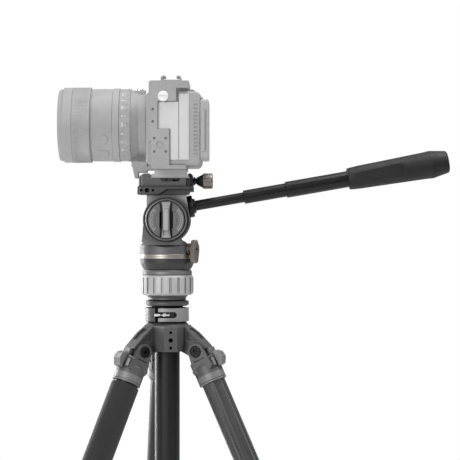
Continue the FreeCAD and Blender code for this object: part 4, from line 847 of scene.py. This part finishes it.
def ridged_disc(bm, base, radius, tall, count=40):
    """A low dial with a ridged rim and a plain chamfered top."""
    ridge = 0.35 * MM
    levels = [(0.0, 0, 0.0), (0.05, 1, 0.0), (0.78, 1, 0.0), (0.8, 0, 0.35 * MM), (1.0, 0, 0.9 * MM)]
    steps = count * 2
    rings = []
    for share, ridged, inset in levels:
        ring = []
        for k in range(steps):
            a = 2 * math.pi * k / steps
            r = radius - inset - (ridge if ridged and k % 2 else 0)
            place = (base[0] + r * math.cos(a), base[1] + r * math.sin(a), base[2] + share * tall)
            ring.append(bm.verts.new(place))
        rings.append(ring)
    for a, b in zip(rings, rings[1:]):
        for k in range(steps):
            n = (k + 1) % steps
            bm.faces.new((a[k], a[n], b[n], b[k]))
    bm.faces.new(rings[0][::-1])
    bm.faces.new(rings[-1])


def top_controls():
    """The record button and two ridged dials on the camera's top."""
    upwards = (0, 0, 1)
    bm = bmesh.new()
    place = (BODY_LOW.x + 24 * MM, BODY_HIGH.y - 33 * MM, BODY_TOP)
    turned(bm, [(0, -2), (4.4, -2), (4.4, 2.6), (3.6, 3.0), (0, 3.0)], upwards, place, 32)
    add("record_button", bm, FINISHES["bright_steel"], "camera")
    for tag, dx, dy, r, tall in (("mode", 48.0, 11.5, 8.4, 6.6), ("setting", 69.0, 10.5, 6.6, 4.8)):
        x, y = BODY_LOW.x + dx * MM, BODY_HIGH.y - dy * MM
        bm = bmesh.new()
        turned(bm, [(0, -2), (r + 1, -2), (r + 1, 0.6), (r, 0.9), (0, 0.9)], upwards, (x, y, BODY_TOP), 48)
        ridged_disc(bm, (x, y, BODY_TOP + 0.8 * MM), r * MM, tall * MM)
        add(tag + "_dial", bm, FINISHES["cage_grey"], "camera")


def eyepiece():
    """The viewfinder's soft cup and its small window."""
    place = on_back(3 * MM, BODY_HIGH.z - 17.2 * MM)
    bm = bmesh.new()
    prism(bm, rounded(-17 * MM, 17 * MM, -4.4 * MM, 4.4 * MM, 3.4 * MM), -3.0 * MM, 1.4 * MM, place,
          0.8 * MM, 0.8 * MM)
    add("eyecup", bm, FINISHES["ring_grey"], "camera")
    bm = bmesh.new()
    prism(bm, rounded(-9 * MM, 9 * MM, -3.0 * MM, 3.0 * MM, 2.2 * MM), 0.9 * MM, 1.6 * MM, place,
          0.3 * MM, 0.2 * MM)
    add("eyepiece", bm, FINISHES["optical_glass"], "camera")


monitor_pane()
back_controls()
top_controls()
eyepiece()


# ---- camera, lights and floor ---------------------------------------------------------------------
FOCAL = 134.9              # for the sensor's width of 36
VIEW_DISTANCE = 2.0        # from the camera to the part's middle plane
VIEW_X = 72.8 * MM         # the picture's middle, behind the tilt axis
VIEW_DROP = 11.6 * MM      # the picture's middle, below the tilt axis
cam_data = bpy.data.cameras.new("camera")
cam = bpy.data.objects.new("camera", cam_data)
scene.collection.objects.link(cam)
cam_data.sensor_width = 36.0
cam_data.lens = FOCAL
cam_data.clip_end = 20
cam.location = (VIEW_X, -VIEW_DISTANCE, TILT.z - VIEW_DROP)
cam.rotation_euler = (math.radians(90), 0, 0)
scene.camera = cam
scene.view_settings.view_transform = "Standard"


def soft_light(name, place, aim, width, height, power):
    """A rectangular lamp that the camera doesn't see."""
    data = bpy.data.lights.new(name, "AREA")
    data.shape = "RECTANGLE"
    data.size = width
    data.size_y = height
    data.energy = power
    lamp = bpy.data.objects.new(name, data)
    lamp.location = place
    lamp.rotation_euler = (Vector(aim) - Vector(place)).to_track_quat("-Z", "Y").to_euler()
    lamp.visible_camera = False
    scene.collection.objects.link(lamp)


AIM = (0.0, 0.0, 0.5)
soft_light("key", (-0.95, -1.9, 1.0), AIM, 0.9, 0.9, 29)
soft_light("side", (1.75, -0.35, 1.25), AIM, 0.4, 0.9, 6)
soft_light("rim_left", (-1.45, 1.3, 0.55), AIM, 0.4, 1.6, 34)
soft_light("top", (0.5, -0.2, 2.0), AIM, 1.1, 1.0, 26)

# The camera sees plain white behind the part; the part is lit by a sky brighter to -X, +Y and +Z.
world = bpy.data.worlds.new("studio")
scene.world = world
world.use_nodes = True
tree = world.node_tree
back = tree.nodes["Background"]
back.inputs["Color"].default_value = (1, 1, 1, 1)
direct = tree.nodes.new("ShaderNodeBackground")
coords = tree.nodes.new("ShaderNodeTexCoord")
split = tree.nodes.new("ShaderNodeSeparateXYZ")
path = tree.nodes.new("ShaderNodeLightPath")
choose = tree.nodes.new("ShaderNodeMixShader")
sums = [tree.nodes.new("ShaderNodeMath") for _ in range(2)]
tree.links.new(coords.outputs["Generated"], split.inputs[0])
for axis, slot, near, far in (("X", sums[0].inputs[0], 0.46, 0.0), ("Y", sums[0].inputs[1], -0.2, 0.25),
                              ("Z", sums[1].inputs[0], 0.0, 0.36)):
    ramp = tree.nodes.new("ShaderNodeMapRange")
    tree.links.new(split.outputs[axis], ramp.inputs["Value"])
    ramp.inputs["From Min"].default_value = -1.0
    ramp.inputs["To Min"].default_value = near
    ramp.inputs["To Max"].default_value = far
    tree.links.new(ramp.outputs["Result"], slot)
tree.links.new(sums[0].outputs[0], sums[1].inputs[1])
tree.links.new(sums[1].outputs[0], direct.inputs["Strength"])
tree.links.new(path.outputs["Is Camera Ray"], choose.inputs[0])
tree.links.new(direct.outputs[0], choose.inputs[1])
tree.links.new(back.outputs[0], choose.inputs[2])
tree.links.new(choose.outputs[0], tree.nodes["World Output"].inputs["Surface"])

bm = bmesh.new()
FLOOR = 1.5
square = ((-FLOOR, -FLOOR), (FLOOR, -FLOOR), (FLOOR, FLOOR), (-FLOOR, FLOOR))
corners = [bm.verts.new((x, y, -0.0002)) for x, y in square]
bm.faces.new(corners)
mesh = bpy.data.meshes.new("floor")
bm.to_mesh(mesh)
bm.free()
floor = bpy.data.objects.new("floor", mesh)
scene.collection.objects.link(floor)
mesh.materials.append(soft_plastic("floor", 0.85, 0.8, grain=40.0, depth=0.0))
